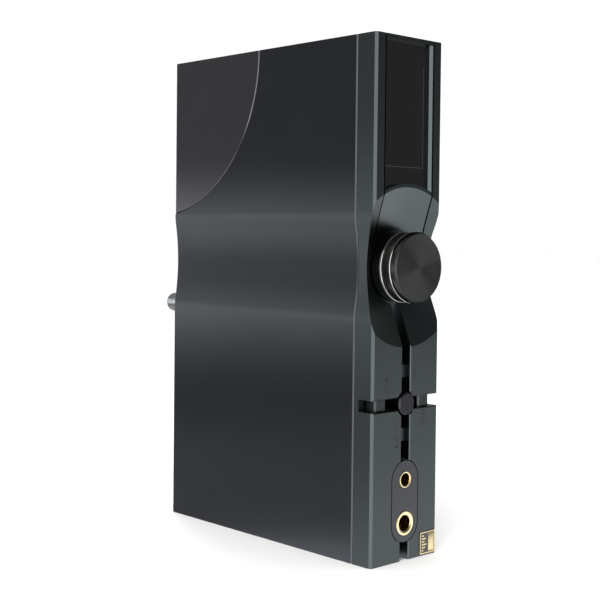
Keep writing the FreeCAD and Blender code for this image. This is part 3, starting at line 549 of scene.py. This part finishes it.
class PLAYER_OT_volume_knob(bpy.types.Operator):
    """Build the knurled grip, its trim rings and the turned face of the volume knob"""
    bl_idname = "player.volume_knob"
    bl_label = "Volume knob"

    def execute(self, context):
        s = context.scene.player_controls
        grip_low, grip_high = box_mm("knob_grip_ring")
        cap_low, cap_high = box_mm("knob_face_cap")
        middle = (cap_low + cap_high) / 2
        y, z = middle.y, middle.z
        outer = (cap_high.z - cap_low.z) / 2
        grip_radius = (grip_high.z - grip_low.z) / 2
        sleeve_wall = 1.35
        inner = grip_radius - sleeve_wall
        # Turned and anodised near black: rings of tool marks, long soft highlights. The sides take the
        # knob's dye at 0.7, a darker copy of the face's: painted shade.
        side = turned_metal("turned_knob_side_painted_shade", shade_of(s.knob_base, 0.7), 0.22, 0.3, y, z, 0.5, 0.0008)
        finish(side, "volume_knob")
        face_metal = turned_metal("turned_knob_face", s.knob_base, 0.29, 1.0, y, z, 0.42, 0.0015)
        bright = turned_metal("cut_trim_ring", s.trim, 0.2, 0.4, y, z, 0.2, 0.0004)
        knurled = blasted_aluminium("knurled_grip", s.knob_grip, 0.35, 0.3, 0.001, 0.06)

        # Along X from the back: rear ring, knurl, front ring, groove.
        back, front = grip_low.x, grip_high.x
        groove_width, front_ring_room, rear_gap, front_gap = 0.2, 0.3, 0.04, 0.03
        groove = front - groove_width
        knurl_back = back + s.trim_width + rear_gap
        knurl_front = groove - front_ring_room
        # The knurl starts at its shoulders and is full at its crests.
        shoulder, crest = 0.1, 0.26
        foot_radius, shoulder_radius = grip_radius - 0.3, grip_radius - 0.14
        crest_radius = grip_radius - 0.02
        shape = turn(bmesh.new(), [
            (knurl_back, inner), (knurl_back, foot_radius),
            (knurl_back + shoulder, shoulder_radius, 0.0),
            (knurl_back + crest, crest_radius, s.knurl_depth),
            (knurl_front - crest, crest_radius, s.knurl_depth),
            (knurl_front - shoulder, shoulder_radius, 0.0),
            (knurl_front, foot_radius), (knurl_front, inner)],
            y, z, closed=True, teeth=s.knurl_teeth)
        piece("knob_knurl", shape, knurled, KNOB, ("knob_grip_ring",), sharp_deg=25.0,
              weighted=False)
        for name, x0, x1 in (("knob_trim_rear", back, back + s.trim_width),
                             ("knob_trim_front", knurl_front + front_gap, groove)):
            shape = turn(bmesh.new(), [
                (x0, inner), (x0, outer - 0.1), (x0 + 0.05, outer - 0.03), (x1 - 0.12, outer - 0.03),
                (x1, outer - 0.15), (x1, inner)], y, z, closed=True)
            piece(name, shape, bright, KNOB, ("knob_grip_ring",))
        groove_radius = grip_radius - 0.4
        shape = turn(bmesh.new(), [
            (groove, inner), (groove, groove_radius), (front, groove_radius), (front, inner)],
            y, z, closed=True)
        piece("knob_groove", shape, side, KNOB, ("knob_grip_ring",))

        # The cap reaches back as a spigot inside the grip; its face lies just under the rim's edge.
        bevel_x, bevel_r, cap_gap, sunk = 1.0, 0.6, 0.05, 0.02
        spigot_x, spigot_radius = cap_low.x, 4.0
        x0, x1 = front + cap_gap, cap_high.x
        face_radius = outer - bevel_r
        disc_radius = face_radius - 0.11
        shape = turn(bmesh.new(), [
            (x0, face_radius - 0.1), (x0, outer - 0.14), (x0 + 0.05, outer - 0.04), (x0 + 0.14, outer),
            (x1 - bevel_x, outer), (x1 - 0.06, face_radius + 0.04), (x1, face_radius - 0.02),
            (x1, face_radius - 0.1)], y, z, closed=True)
        piece("knob_rim", shape, side, KNOB, ("knob_face_cap",))
        shape = turn(bmesh.new(), [
            (spigot_x, 0.0), (spigot_x, spigot_radius), (x0, spigot_radius), (x0, disc_radius),
            (x1, disc_radius), (x1, face_radius - 0.3),
            (x1 - sunk, face_radius - 0.38), (x1 - sunk, 0.0)], y, z)
        piece("knob_face", shape, face_metal, KNOB, ("knob_face_cap",))
        return {"FINISHED"}


class PLAYER_OT_keys(bpy.types.Operator):
    """Finish the centre button and the four keys in the slots"""
    bl_idname = "player.keys"
    bl_label = "Button and keys"

    def execute(self, context):
        s = context.scene.player_controls
        low, high = box_mm("centre_button")
        middle = (low + high) / 2
        # Turned button, satin anodised in a slightly purple grey.
        finish(turned_metal("turned_button", s.button, 0.34, 0.5, middle.y, middle.z, 0.3, 0.0015),
               "centre_button")
        # Milled keys, satin anodised to match the panel.
        finish(blasted_aluminium("satin_keys", s.key, 0.3, 0.3, 0.002, 0.08),
               "key_up", "key_down", "key_left", "key_right")
        return {"FINISHED"}


class PLAYER_OT_key_marks(bpy.types.Operator):
    """Mark the four keys with plain transport and volume signs"""
    bl_idname = "player.key_marks"
    bl_label = "Key marks"

    def execute(self, context):
        s = context.scene.player_controls
        x = box_mm("front_panel")[1].x
        marked = laser_mark_and_painted_edge("laser_mark", s.marking)
        cross = box_mm("centre_button")
        z0 = (cross[0].z + cross[1].z) / 2

        def mark(name, outlines):
            shape = bmesh.new()
            for outline in outlines:
                slab(shape, outline, x - 0.03, x + 0.012)
            piece(name, shape, marked, weighted=False)

        # The signs read from bottom to top, as the player is turned on its side to be used.
        y, z = -8.3, z0 + 3.3
        mark("mark_back_menu", [
            arc_band(y, z + 0.8, 0.72, 0.2, -60, 200), rectangle(y + 0.55, z + 0.25, 0.2, 0.6, 30),
            rectangle(y, z + 2.45, 1.5, 0.18, 55),
            *[rectangle(y, z + 3.5 + 0.5 * i, 1.5, 0.2) for i in range(3)]])
        y, z = 7.4, z0 - 6.9
        mark("mark_dot_frame", [
            arc_band(y, z + 0.8, 0.72, 0.2, 0, 180), arc_band(y, z + 0.8, 0.72, 0.2, 180, 360),
            rectangle(y, z + 2.45, 1.5, 0.18, 55),
            rectangle(y - 0.65, z + 3.9, 0.18, 1.3), rectangle(y + 0.65, z + 3.9, 0.18, 1.3),
            rectangle(y, z + 3.34, 1.4, 0.18), rectangle(y, z + 4.46, 1.4, 0.18)])
        y, z = 3.4, z0 + 5.8
        mark("mark_louder", [
            rectangle(y + 0.55 - (0.25 + 0.1 * i), z + 0.35 + 0.85 * i, 0.35 + 0.2 * i, 0.34)
            for i in range(5)])
        y, z = -3.8, z0 - 12.4
        mark("mark_play_pause", [
            [(y - 0.55, z), (y + 0.55, z), (y, z + 1.0)],
            rectangle(y, z + 2.0, 1.1, 0.24), rectangle(y, z + 2.6, 1.1, 0.24),
            rectangle(y, z + 3.7, 1.3, 0.18, 55),
            *[rectangle(y, z + 5.0 + 0.75 * i, 0.45, 0.28) for i in range(4)]])
        return {"FINISHED"}


# ---- display ------------------------------------------------------------------------------

class PLAYER_OT_display(bpy.types.Operator):
    """Finish the display bezel and glass, and paint a highlight on two edges of its picture area"""
    bl_idname = "player.display"
    bl_label = "Display"

    def execute(self, context):
        s, casing = context.scene.player_display, context.scene.player_casing
        finish(blasted_aluminium("satin_bezel", casing.panel, 0.3, 0.3, 0.002, 0.06), "display_bezel")
        finish(cover_glass("printed_cover_glass", s.glass), "display_glass")
        # Liquid-crystal module, black when off, under the glass.
        finish(moulded_plastic("display_module_black", linear("#06080A"), 0.2, 1.0, 0.002),
               "display_module")
        low, high = box_mm("display_glass")
        # Painted highlight: a lighter line drawn only along the right and bottom edges of the picture area,
        # where an edge would catch the light.
        painted_edge_highlight = laser_mark_and_painted_edge("picture_edge_painted_highlight", s.painted_edge_highlight)
        glass_edge, end_margin, line = 0.95, 7.0, 0.12
        left, right = low.y + glass_edge, high.y - glass_edge - s.border_inset
        bottom, top = low.z + end_margin, high.z - end_margin
        x_back, x_front = high.x - 0.02, high.x + 0.006
        shape = bmesh.new()
        slab(shape, rectangle(right, (bottom + top) / 2, line, top - bottom), x_back, x_front)
        slab(shape, rectangle((left + right) / 2, bottom, right - left, line), x_back, x_front)
        piece("painted_picture_edge_strips", shape, painted_edge_highlight, weighted=False)
        return {"FINISHED"}


# ---- sockets and badge --------------------------------------------------------------------

class PLAYER_OT_sockets(bpy.types.Operator):
    """Build the two gold-plated headphone sockets with their springs, and finish their plate"""
    bl_idname = "player.sockets"
    bl_label = "Sockets"

    def execute(self, context):
        s = context.scene.player_sockets
        # Fine-blasted and anodised lighter than the panel.
        finish(blasted_aluminium("satin_socket_plate", s.plate, 0.34, 0.3, 0.0015, 0.05), "jack_plate")
        # Brass, turned and gold plated: pale champagne with bright rims.
        gold = plated_metal("gold_plated_brass", s.gold, 0.16, s.gold_shadow)
        throat = plated_metal("gold_plated_throat", linear("#A88A4C"), 0.3, linear("#7C6336"))
        dark = moulded_plastic("socket_throat_polymer", linear("#0B0A09"), 0.5, 0.4, 0.01)
        for size, springs in (("small", 3), ("large", 4)):
            low, high = box_mm(f"jack_sleeve_{size}")
            middle = (low + high) / 2
            outer = (high.z - low.z) / 2
            bore, mouth = {"small": (1.8, 0.2), "large": (2.25, 0.4)}[size]
            x0, x1 = low.x, high.x
            lip = outer - 0.12
            shape = turn(bmesh.new(), [
                (x0, bore + 0.15), (x0, outer), (x1 - 0.14, outer), (x1 - 0.04, lip + 0.06),
                (x1, lip - 0.06), (x1, bore + mouth + 0.1), (x1 - 0.05, bore + mouth - 0.02),
                (x1 - mouth * 0.6, bore + 0.08), (x1 - mouth - 0.15, bore), (x1 - 1.6, bore),
                (x1 - 1.65, bore + 0.15)],
                middle.y, middle.z, steps=96, closed=True)
            piece(f"socket_ring_{size}", shape, gold, CASE, (f"jack_sleeve_{size}",))
            shape = bmesh.new()
            for i in range(springs):
                angle = 360 / springs * i + 35      # turned out of line with the slots
                leaf_strip(shape, middle, bore, x1 - 3.2, x1 - 8.5, math.radians(angle), 0.7)
            piece(f"socket_springs_{size}", shape, throat, CASE, weighted=False)
            # The throat steps in twice, at the contacts.
            narrow, wide = bore + 0.02, bore + 0.14
            shape = turn(bmesh.new(), [
                (x1 - 1.7, bore + 0.12), (x1 - 1.7, narrow), (x1 - 2.4, narrow), (x1 - 2.4, wide),
                (x1 - 4.4, wide), (x1 - 4.4, narrow), (x1 - 5.4, narrow), (x1 - 5.4, wide),
                (x1 - 9.0, wide), (x1 - 9.0, 0.0)],
                middle.y, middle.z, steps=64)
            piece(f"socket_throat_{size}", shape, throat, CASE, weighted=False)
        finish(dark, "jack_body_small", "jack_body_large")
        return {"FINISHED"}


def leaf_strip(shape, middle, bore, x_front, x_back, angle, half_width):
    """Adds a bowed contact spring inside a socket, along X at an angle round its axis."""
    count = 9
    rows = []
    for i in range(count):
        t = i / (count - 1)
        x = x_front + (x_back - x_front) * t
        reach = bore - 0.08 - 0.5 * math.sin(math.pi * t)
        row = []
        for side in (-1, 1):
            for lift in (0.0, 0.12):
                r = reach + lift
                y = middle.y + r * math.cos(angle) - side * half_width * math.sin(angle)
                z = middle.z + r * math.sin(angle) + side * half_width * math.cos(angle)
                row.append(shape.verts.new((x * MM, y * MM, z * MM)))
        rows.append(row)
    for a, b in zip(rows, rows[1:]):
        for i, j in ((0, 1), (1, 3), (3, 2), (2, 0)):
            shape.faces.new((a[i], a[j], b[j], b[i]))
    for row in (rows[0], rows[-1]):
        shape.faces.new((row[0], row[1], row[3], row[2]))


class PLAYER_OT_badge(bpy.types.Operator):
    """Build the square metal badge with a plain level-meter sign"""
    bl_idname = "player.badge"
    bl_label = "Badge"

    def execute(self, context):
        s = context.scene.player_sockets
        low, high = box_mm("badge_plate")
        x0, x1 = low.x, high.x
        y, z = (low.y + high.y) / 2, (low.z + high.z) / 2
        width, height = high.y - low.y, high.z - low.z
        gold = plated_metal("satin_gold_plate", shade_of(s.gold, 0.78), 0.3,
                            shade_of(s.gold_shadow, 0.78))
        field = moulded_plastic("badge_enamel", s.badge_field, 0.25, 0.6, 0.002)
        rim = 0.32
        shape = slab(bmesh.new(), rectangle(y, z, width, height), x0, x0 + 0.14)
        piece("badge_field", shape, field, CASE, ("badge_plate",), weighted=False)
        shape = bmesh.new()
        for outline in (rectangle(y - (width - rim) / 2, z, rim, height),
                        rectangle(y + (width - rim) / 2, z, rim, height),
                        rectangle(y, z - (height - rim) / 2, width - 2 * rim, rim),
                        rectangle(y, z + (height - rim) / 2, width - 2 * rim, rim)):
            slab(shape, outline, x0, x1)
        piece("badge_rim", shape, gold, CASE, weighted=False)
        shape = bmesh.new()
        inside = width - 2 * rim
        slab(shape, rectangle(y + inside * 0.27, z, inside * 0.4, height - 2 * rim - 0.5),
             x0, x1 - 0.02, 0.03)
        for i, level in enumerate((0.35, 0.7, 1.0, 0.55, 0.8, 0.4)):
            bar = level * inside * 0.36
            slab(shape, rectangle(y - inside * 0.42 + bar / 2, z + (i - 2.5) * 0.86, bar, 0.5),
                 x0, x1 - 0.02, 0.03)
        piece("badge_levels", shape, gold, CASE, weighted=False)
        return {"FINISHED"}


# ---- rear and inside ----------------------------------------------------------------------

class PLAYER_OT_rear_fittings(bpy.types.Operator):
    """Build the antenna stub and the charging port, and finish the card slot and screws"""
    bl_idname = "player.rear_fittings"
    bl_label = "Rear fittings"

    def execute(self, context):
        s = context.scene.player_rear
        chrome = plated_metal("polished_chrome", s.chrome, 0.07, shade_of(s.chrome, 0.92))
        steel = plated_metal("zinc_plated_steel", s.steel, 0.3, shade_of(s.steel, 0.85), 0.002)
        low, high = box_mm("antenna_connector")
        radius, round_over, stem_radius, x0 = 3.08, 1.2, 2.4, low.x
        y, z = (low.y + high.y) / 2, (low.z + high.z) / 2
        seat = box_mm("rear_plate")[0].x
        nose = [(x0 + round_over * (1 - math.cos(math.radians(a))),
                 radius - round_over + round_over * math.sin(math.radians(a))) for a in range(0, 91, 15)]
        shape = turn(bmesh.new(), [
            (x0, 0.0), *nose, (seat - 2.6, radius), (seat - 2.45, radius - 0.15),
            (seat - 2.25, radius - 0.15), (seat - 2.1, radius), (seat - 0.1, radius),
            (seat, radius - 0.1), (seat, stem_radius), (high.x, stem_radius), (high.x, 0.0)],
            y, z, steps=96)
        piece("antenna_stub", shape, chrome, CASE, ("antenna_connector",))

        low, high = box_mm("usb_port")
        y, z = (low.y + high.y) / 2, (low.z + high.z) / 2
        half_long, half_short = (high.z - low.z) / 2, (high.y - low.y) / 2
        straight = half_long - half_short
        wall = 0.3
        shape = turn(bmesh.new(), [
            (low.x + 0.1, half_short), (high.x, half_short), (high.x, half_short - wall),
            (low.x + 0.12, half_short - wall), (low.x, half_short - wall * 0.6), (low.x, half_short - 0.1)],
            y, z, steps=64, closed=True, stretch_z=straight)
        piece("charging_shell", shape, steel, CASE, ("usb_port",))
        tongue_low, tongue_high = box_mm("usb_tongue")
        dark = moulded_plastic("port_tongue_polymer", linear("#101012"), 0.4, 0.4, 0.004)
        shape = block(bmesh.new(), tongue_low, tongue_high, 0.12)
        piece("charging_tongue", shape, dark, CASE, ("usb_tongue",))
        gold = plated_metal("gold_contacts", linear("#D8BC7A"), 0.2, linear("#B9974F"))
        shape = bmesh.new()
        for side in (tongue_low.y, tongue_high.y):
            for i in range(12):
                zc = z + (i - 5.5) * 0.42
                block(shape, (tongue_low.x + 0.5, side - 0.02, zc - 0.12),
                      (tongue_low.x + 3.4, side + 0.02, zc + 0.12))
        piece("charging_contacts", shape, gold, CASE, weighted=False)
        finish(steel, "rear_screws", "antenna_nut", "panel_screws", "board_screws", "encoder_nut",
               "encoder_washer", "knob_grub_screw", "card_socket")
        return {"FINISHED"}


class PLAYER_OT_electronics(bpy.types.Operator):
    """Finish the boards, shields, switches, encoder, capacitors and battery inside the casing"""
    bl_idname = "player.electronics"
    bl_label = "Electronics"

    def execute(self, context):
        s = context.scene.player_rear
        finish(laminate_board("solder_masked_laminate", linear("#12301F"), linear("#2C5C3A")),
               "main_board", "dac_board", "switch_board")
        tin = plated_metal("tinned_shield_can", linear("#B6B7B8"), 0.3, linear("#9C9D9E"), 0.003)
        finish(tin, "processor_shield", "radio_shield", "dac_shield", "encoder_bushing",
               "encoder_shaft")
        finish(plated_metal("turned_brass_posts", linear("#C9A75C"), 0.28, linear("#A98745")),
               "board_standoffs")
        black = moulded_plastic("moulded_polymer", linear("#141516"), 0.5, 0.5, 0.01)
        finish(black, "tact_switches", "encoder_housing")
        finish(blasted_aluminium("stamped_retainers", s.steel, 0.35, 0.4, 0.002, 0.05),
               "centre_button_retainer", "key_up_retainer", "key_down_retainer", "key_left_retainer",
               "key_right_retainer")
        # PVC shrink sleeve with a printed band; polyimide with copper runs; an aluminium pouch.
        finish(banded_film("shrink_sleeve", linear("#241F4A"), linear("#2E2860"), 6.0, "X", 0.3),
               "filter_capacitors")
        finish(banded_film("polyimide_ribbon", linear("#A65F1C"), linear("#8A4A16"), 0.8, "Y", 0.35),
               "display_flex")
        finish(banded_film("foil_pouch", linear("#B5B5B2"), linear("#A8A8A5"), 11.0, "Z", 0.35, 0.8),
               "battery")
        return {"FINISHED"}


# ---- studio -------------------------------------------------------------------------------

# Brightness of the tent by elevation in degrees, on its four sides: opposite the broad face,
# behind the control panel, toward the open front corner, and behind the rear plate.
TENT_BROAD_SIDE = ((-90, 1.3), (-30, 1.6), (-18, 2.0), (-12, 1.4), (-6, 1.5), (-4, 1.6), (1.5, 1.6),
                   (4, 1.1), (9, 1.1), (13, 1.35), (18, 1.7), (30, 1.0), (90, 0.6))
TENT_PANEL_SIDE = ((-90, 1.5), (-30, 1.7), (-18, 2.1), (-12, 1.6), (-7, 1.0), (-3.5, 0.4),
                   (1, 0.26), (9, 0.25), (18, 0.2), (30, 0.12), (50, 0.12), (90, 0.4))
TENT_OPEN_SIDE = ((-90, 1.5), (-60, 2.5), (-35, 4.5), (-15, 2.8), (15, 2.8), (35, 3.5), (50, 1.6),
                  (90, 0.4))
TENT_REAR_SIDE = ((-90, 1.0), (-35, 0.9), (-15, 0.35), (15, 0.3), (35, 0.6), (60, 1.6), (90, 0.8))
TENT_RADIUS, TENT_CENTRE_Z = 12.0, 0.09         # metres
# Black flags near the player on the broad side, at its foot and its top: height in millimetres,
# brightness, cover.
FLAGS = ((-40, 0.6, 1.0), (0, 0.6, 1.0), (12, 0.46, 1.0), (19, 0.4, 1.0), (27, 0.4, 1.0), (35, 0.5, 1.0),
         (44, 0.75, 1.0), (52, 1.05, 1.0), (58, 1.0, 0.0), (100, 0.42, 0.0), (102, 0.42, 0.15),
         (108, 0.42, 0.45), (116, 0.42, 0.8), (124, 0.38, 1.0), (220, 0.36, 1.0), (260, 0.42, 0.0))
FLAG_RADIUS = 0.16                              # metres
FLAG_START, FLAG_SWEEP, FLAG_STEPS = 150, 145, 32     # degrees round the player, and facets
TOP_LEVEL = 8                                   # the brightness a ramp's white stands for

# The point the camera aims at, from the middle of the player, in millimetres.
AIM_ACROSS, AIM_UP = 0.486, 7.458


class PLAYER_OT_studio(bpy.types.Operator):
    """Set up the floor, the graded light tent, the soft lights and the camera"""
    bl_idname = "player.studio"
    bl_label = "Studio"

    def execute(self, context):
        scene, s = context.scene, context.scene.player_studio
        scene.view_settings.view_transform = "Standard"
        scene.view_settings.look = "None"
        self.floor(scene, s)
        self.tent(scene, s)
        self.flags(scene, s)
        self.lights(scene, s)
        self.camera(scene, s)
        return {"FINISHED"}

    def floor(self, scene, s):
        # Seamless paper: bright and matt, with a faint fibre.
        material, tree = empty_material("seamless_paper")
        place = (add_node(tree, "ShaderNodeTexCoord"), "Object")
        fibre = add_node(tree, "ShaderNodeTexNoise", {}, {
            "Vector": place, "Scale": cells(2.5), "Detail": 3.0})
        tint = add_node(tree, "ShaderNodeMix", {"data_type": "RGBA"}, {
            0: fibre, 6: rgba(s.paper, 0.985), 7: rgba(s.paper)})
        shader = add_node(tree, "ShaderNodeBsdfPrincipled", {}, {
            "Base Color": (tint, 2), "Roughness": 0.9, "Specular IOR Level": 0.1})
        add_node(tree, "ShaderNodeOutputMaterial", {}, {"Surface": shader})
        half, drop = 8.0, 0.02 * MM
        shape = bmesh.new()
        shape.faces.new([shape.verts.new((x * half, y * half, -drop))
                         for x, y in ((-1, -1), (1, -1), (1, 1), (-1, 1))])
        floor = bpy.data.objects.new("floor", mesh_of("floor", shape, material))
        floor.visible_glossy = False
        scene.collection.objects.link(floor)

        world = bpy.data.worlds.new("even_light")
        world.use_nodes = True
        tree = world.node_tree
        tree.nodes.clear()
        light = add_node(tree, "ShaderNodeBackground", {}, {
            "Color": rgba(linear("#FFFFFF")), "Strength": s.surround})
        add_node(tree, "ShaderNodeOutputWorld", {}, {"Surface": light})
        scene.world = world

    def tent(self, scene, s):
        # A light tent of graded cloth all round, seen only in reflections: bright at the horizon
        # behind the broad face, and fading upward behind the panel.
        material, tree = empty_material("graded_tent_cloth")
        place = (add_node(tree, "ShaderNodeTexCoord"), "Object")
        outward = add_node(tree, "ShaderNodeVectorMath", {"operation": "NORMALIZE"}, {0: place})
        parts = add_node(tree, "ShaderNodeSeparateXYZ", {}, {0: outward})
        angle = add_node(tree, "ShaderNodeMath", {"operation": "ARCSINE"}, {0: (parts, "Z")})
        share = add_node(tree, "ShaderNodeMapRange", {}, {
            "Value": angle, "From Min": -math.pi / 2, "From Max": math.pi / 2,
            "To Min": 0.0, "To Max": 1.0})
        ramps = [self.ramp(tree, share, [((degrees + 90) / 180, level) for degrees, level in stops])
                 for stops in (TENT_BROAD_SIDE, TENT_PANEL_SIDE, TENT_OPEN_SIDE, TENT_REAR_SIDE)]
        level = (ramps[0], "Color")
        # Each other side takes over by how far a direction leans toward it, from start to full.
        for ramp, direction, start, full in (
                (ramps[1], (0.73, 0.68, 0.0), -0.35, 0.35),
                (ramps[2], (0.73, -0.68, 0.0), 0.72, 0.93),
                (ramps[3], (-0.73, 0.68, 0.0), 0.4, 0.8)):
            toward = add_node(tree, "ShaderNodeVectorMath", {"operation": "DOT_PRODUCT"}, {
                0: outward, 1: direction})
            weight = add_node(tree, "ShaderNodeMapRange", {"interpolation_type": "SMOOTHSTEP"}, {
                "Value": (toward, "Value"), "From Min": start, "From Max": full,
                "To Min": 0.0, "To Max": 1.0})
            level = (add_node(tree, "ShaderNodeMix", {"data_type": "RGBA"}, {
                0: weight, 6: level, 7: (ramp, "Color")}), 2)
        glow = add_node(tree, "ShaderNodeEmission", {}, {
            "Color": level, "Strength": TOP_LEVEL * s.tent})
        add_node(tree, "ShaderNodeOutputMaterial", {}, {"Surface": glow})
        shape = bmesh.new()
        bmesh.ops.create_uvsphere(shape, u_segments=64, v_segments=48, radius=TENT_RADIUS)
        tent = bpy.data.objects.new("light_tent", mesh_of("light_tent", shape, material))
        tent.location = (0.0, 0.0, TENT_CENTRE_Z)
        self.reflected_only(scene, tent)

    def flags(self, scene, s):
        # Two graded black flags that shade the top and the foot of the broad face in reflection.
        material, tree = empty_material("flag_cloth")
        place = (add_node(tree, "ShaderNodeTexCoord"), "Object")
        parts = add_node(tree, "ShaderNodeSeparateXYZ", {}, {0: place})
        low, high = FLAGS[0][0], FLAGS[-1][0]
        share = add_node(tree, "ShaderNodeMapRange", {}, {
            "Value": (parts, "Z"), "From Min": low * MM, "From Max": high * MM,
            "To Min": 0.0, "To Max": 1.0})
        places = [(z - low) / (high - low) for z, _, _ in FLAGS]
        shade = self.ramp(tree, share, [(at, level) for at, (_, level, _) in zip(places, FLAGS)])
        cover = self.ramp(tree, share, [(at, TOP_LEVEL * part)
                                        for at, (_, _, part) in zip(places, FLAGS)])
        glow = add_node(tree, "ShaderNodeEmission", {}, {
            "Color": shade, "Strength": TOP_LEVEL * s.tent})
        clear = add_node(tree, "ShaderNodeBsdfTransparent")
        mixed = add_node(tree, "ShaderNodeMixShader", {}, {0: cover, 1: clear, 2: glow})
        add_node(tree, "ShaderNodeOutputMaterial", {}, {"Surface": mixed})
        shape = bmesh.new()
        columns = []
        for i in range(FLAG_STEPS + 1):
            turned = math.radians(FLAG_START + FLAG_SWEEP * i / FLAG_STEPS)
            x, y = FLAG_RADIUS * math.cos(turned), FLAG_RADIUS * math.sin(turned)
            columns.append([shape.verts.new((x, y, z * MM)) for z in (low, high)])
        for a, b in zip(columns, columns[1:]):
            shape.faces.new((a[0], b[0], b[1], a[1]))
        self.reflected_only(scene, bpy.data.objects.new(
            "black_flags", mesh_of("black_flags", shape, material)))

    def ramp(self, tree, share, stops):
        """A ramp of brightness levels from 0 to TOP_LEVEL, at positions from 0 to 1."""
        made = add_node(tree, "ShaderNodeValToRGB", {}, {"Fac": share})
        points = made.color_ramp.elements
        while len(points) > 1:
            points.remove(points[-1])
        points[0].position = 0.0
        for index, (position, level) in enumerate(stops):
            point = points[0] if index == 0 else points.new(position)
            point.color = (level / TOP_LEVEL, level / TOP_LEVEL, level / TOP_LEVEL, 1.0)
        return made

    def reflected_only(self, scene, made):
        """Links a studio object that only reflections see."""
        for ray in ("camera", "diffuse", "transmission", "volume_scatter", "shadow"):
            setattr(made, f"visible_{ray}", False)
        scene.collection.objects.link(made)

    def lights(self, scene, s):
        for name, place, size, power in (
                ("soft_key", (0.35, -0.75, 0.95), 0.5, s.key_power),
                ("soft_rim", (-0.7, 0.35, 0.9), 0.4, s.key_power * 0.5)):
            data = bpy.data.lights.new(name, "AREA")
            data.shape, data.size, data.energy = "DISK", size, power
            lamp = bpy.data.objects.new(name, data)
            lamp.location = place
            lamp.rotation_mode = "QUATERNION"
            lamp.rotation_quaternion = (Vector(place) - Vector((0, 0, 0.07))).to_track_quat("Z", "Y")
            lamp.visible_camera = False
            lamp.visible_glossy = False
            scene.collection.objects.link(lamp)

    def camera(self, scene, s):
        middle = (cad_low + cad_high) / 2
        across = Vector((math.cos(s.azimuth), math.sin(s.azimuth), 0.0))
        aim = Vector((0.0, 0.0, middle.z)) + across * (AIM_ACROSS * MM) + Vector((0, 0, AIM_UP * MM))
        back = Vector((math.sin(s.azimuth) * math.cos(s.elevation),
                       -math.cos(s.azimuth) * math.cos(s.elevation), math.sin(s.elevation)))
        up = back.cross(across)
        right = across * math.cos(s.roll) + up * math.sin(s.roll)
        data = bpy.data.cameras.new("studio_camera")
        data.lens, data.sensor_width = s.lens, 36.0
        data.shift_y = -0.05
        data.clip_start, data.clip_end = 0.01, 100.0
        camera = bpy.data.objects.new("studio_camera", data)
        axes = Matrix((right, back.cross(right), back)).transposed()
        camera.matrix_world = Matrix.Translation(aim + back * s.distance) @ axes.to_4x4()
        scene.collection.objects.link(camera)
        scene.camera = camera


# ---- add-on -------------------------------------------------------------------------------

OPERATORS = (PLAYER_OT_casing, PLAYER_OT_volume_knob, PLAYER_OT_keys, PLAYER_OT_key_marks,
             PLAYER_OT_display, PLAYER_OT_sockets, PLAYER_OT_badge, PLAYER_OT_rear_fittings,
             PLAYER_OT_electronics, PLAYER_OT_studio)
SETTINGS = {"player_casing": CasingSettings, "player_controls": ControlSettings,
            "player_sockets": SocketSettings, "player_display": DisplaySettings,
            "player_rear": RearSettings, "player_studio": StudioSettings}


class PLAYER_PT_sidebar(bpy.types.Panel):
    """Settings and build steps of the audio player"""
    bl_label = "Digital Audio Player"
    bl_idname = "PLAYER_PT_sidebar"
    bl_space_type = "VIEW_3D"
    bl_region_type = "UI"
    bl_category = "Player"

    def draw(self, context):
        layout = self.layout
        for name, group in SETTINGS.items():
            box = layout.box()
            box.label(text=group.__name__.replace("Settings", ""))
            for key in group.__annotations__:
                box.prop(getattr(context.scene, name), key)
        for step in OPERATORS:
            layout.operator(step.bl_idname)


def register():
    for group in (*SETTINGS.values(), *OPERATORS, PLAYER_PT_sidebar):
        bpy.utils.register_class(group)
    for name, group in SETTINGS.items():
        setattr(bpy.types.Scene, name, PointerProperty(type=group))


def unregister():
    for name in SETTINGS:
        delattr(bpy.types.Scene, name)
    for group in (PLAYER_PT_sidebar, *reversed(OPERATORS), *reversed(list(SETTINGS.values()))):
        bpy.utils.unregister_class(group)


def main():
    register()
    for step in OPERATORS:
        area, name = step.bl_idname.split(".")
        getattr(getattr(bpy.ops, area), name)()


if __name__ == "__main__":
    main()
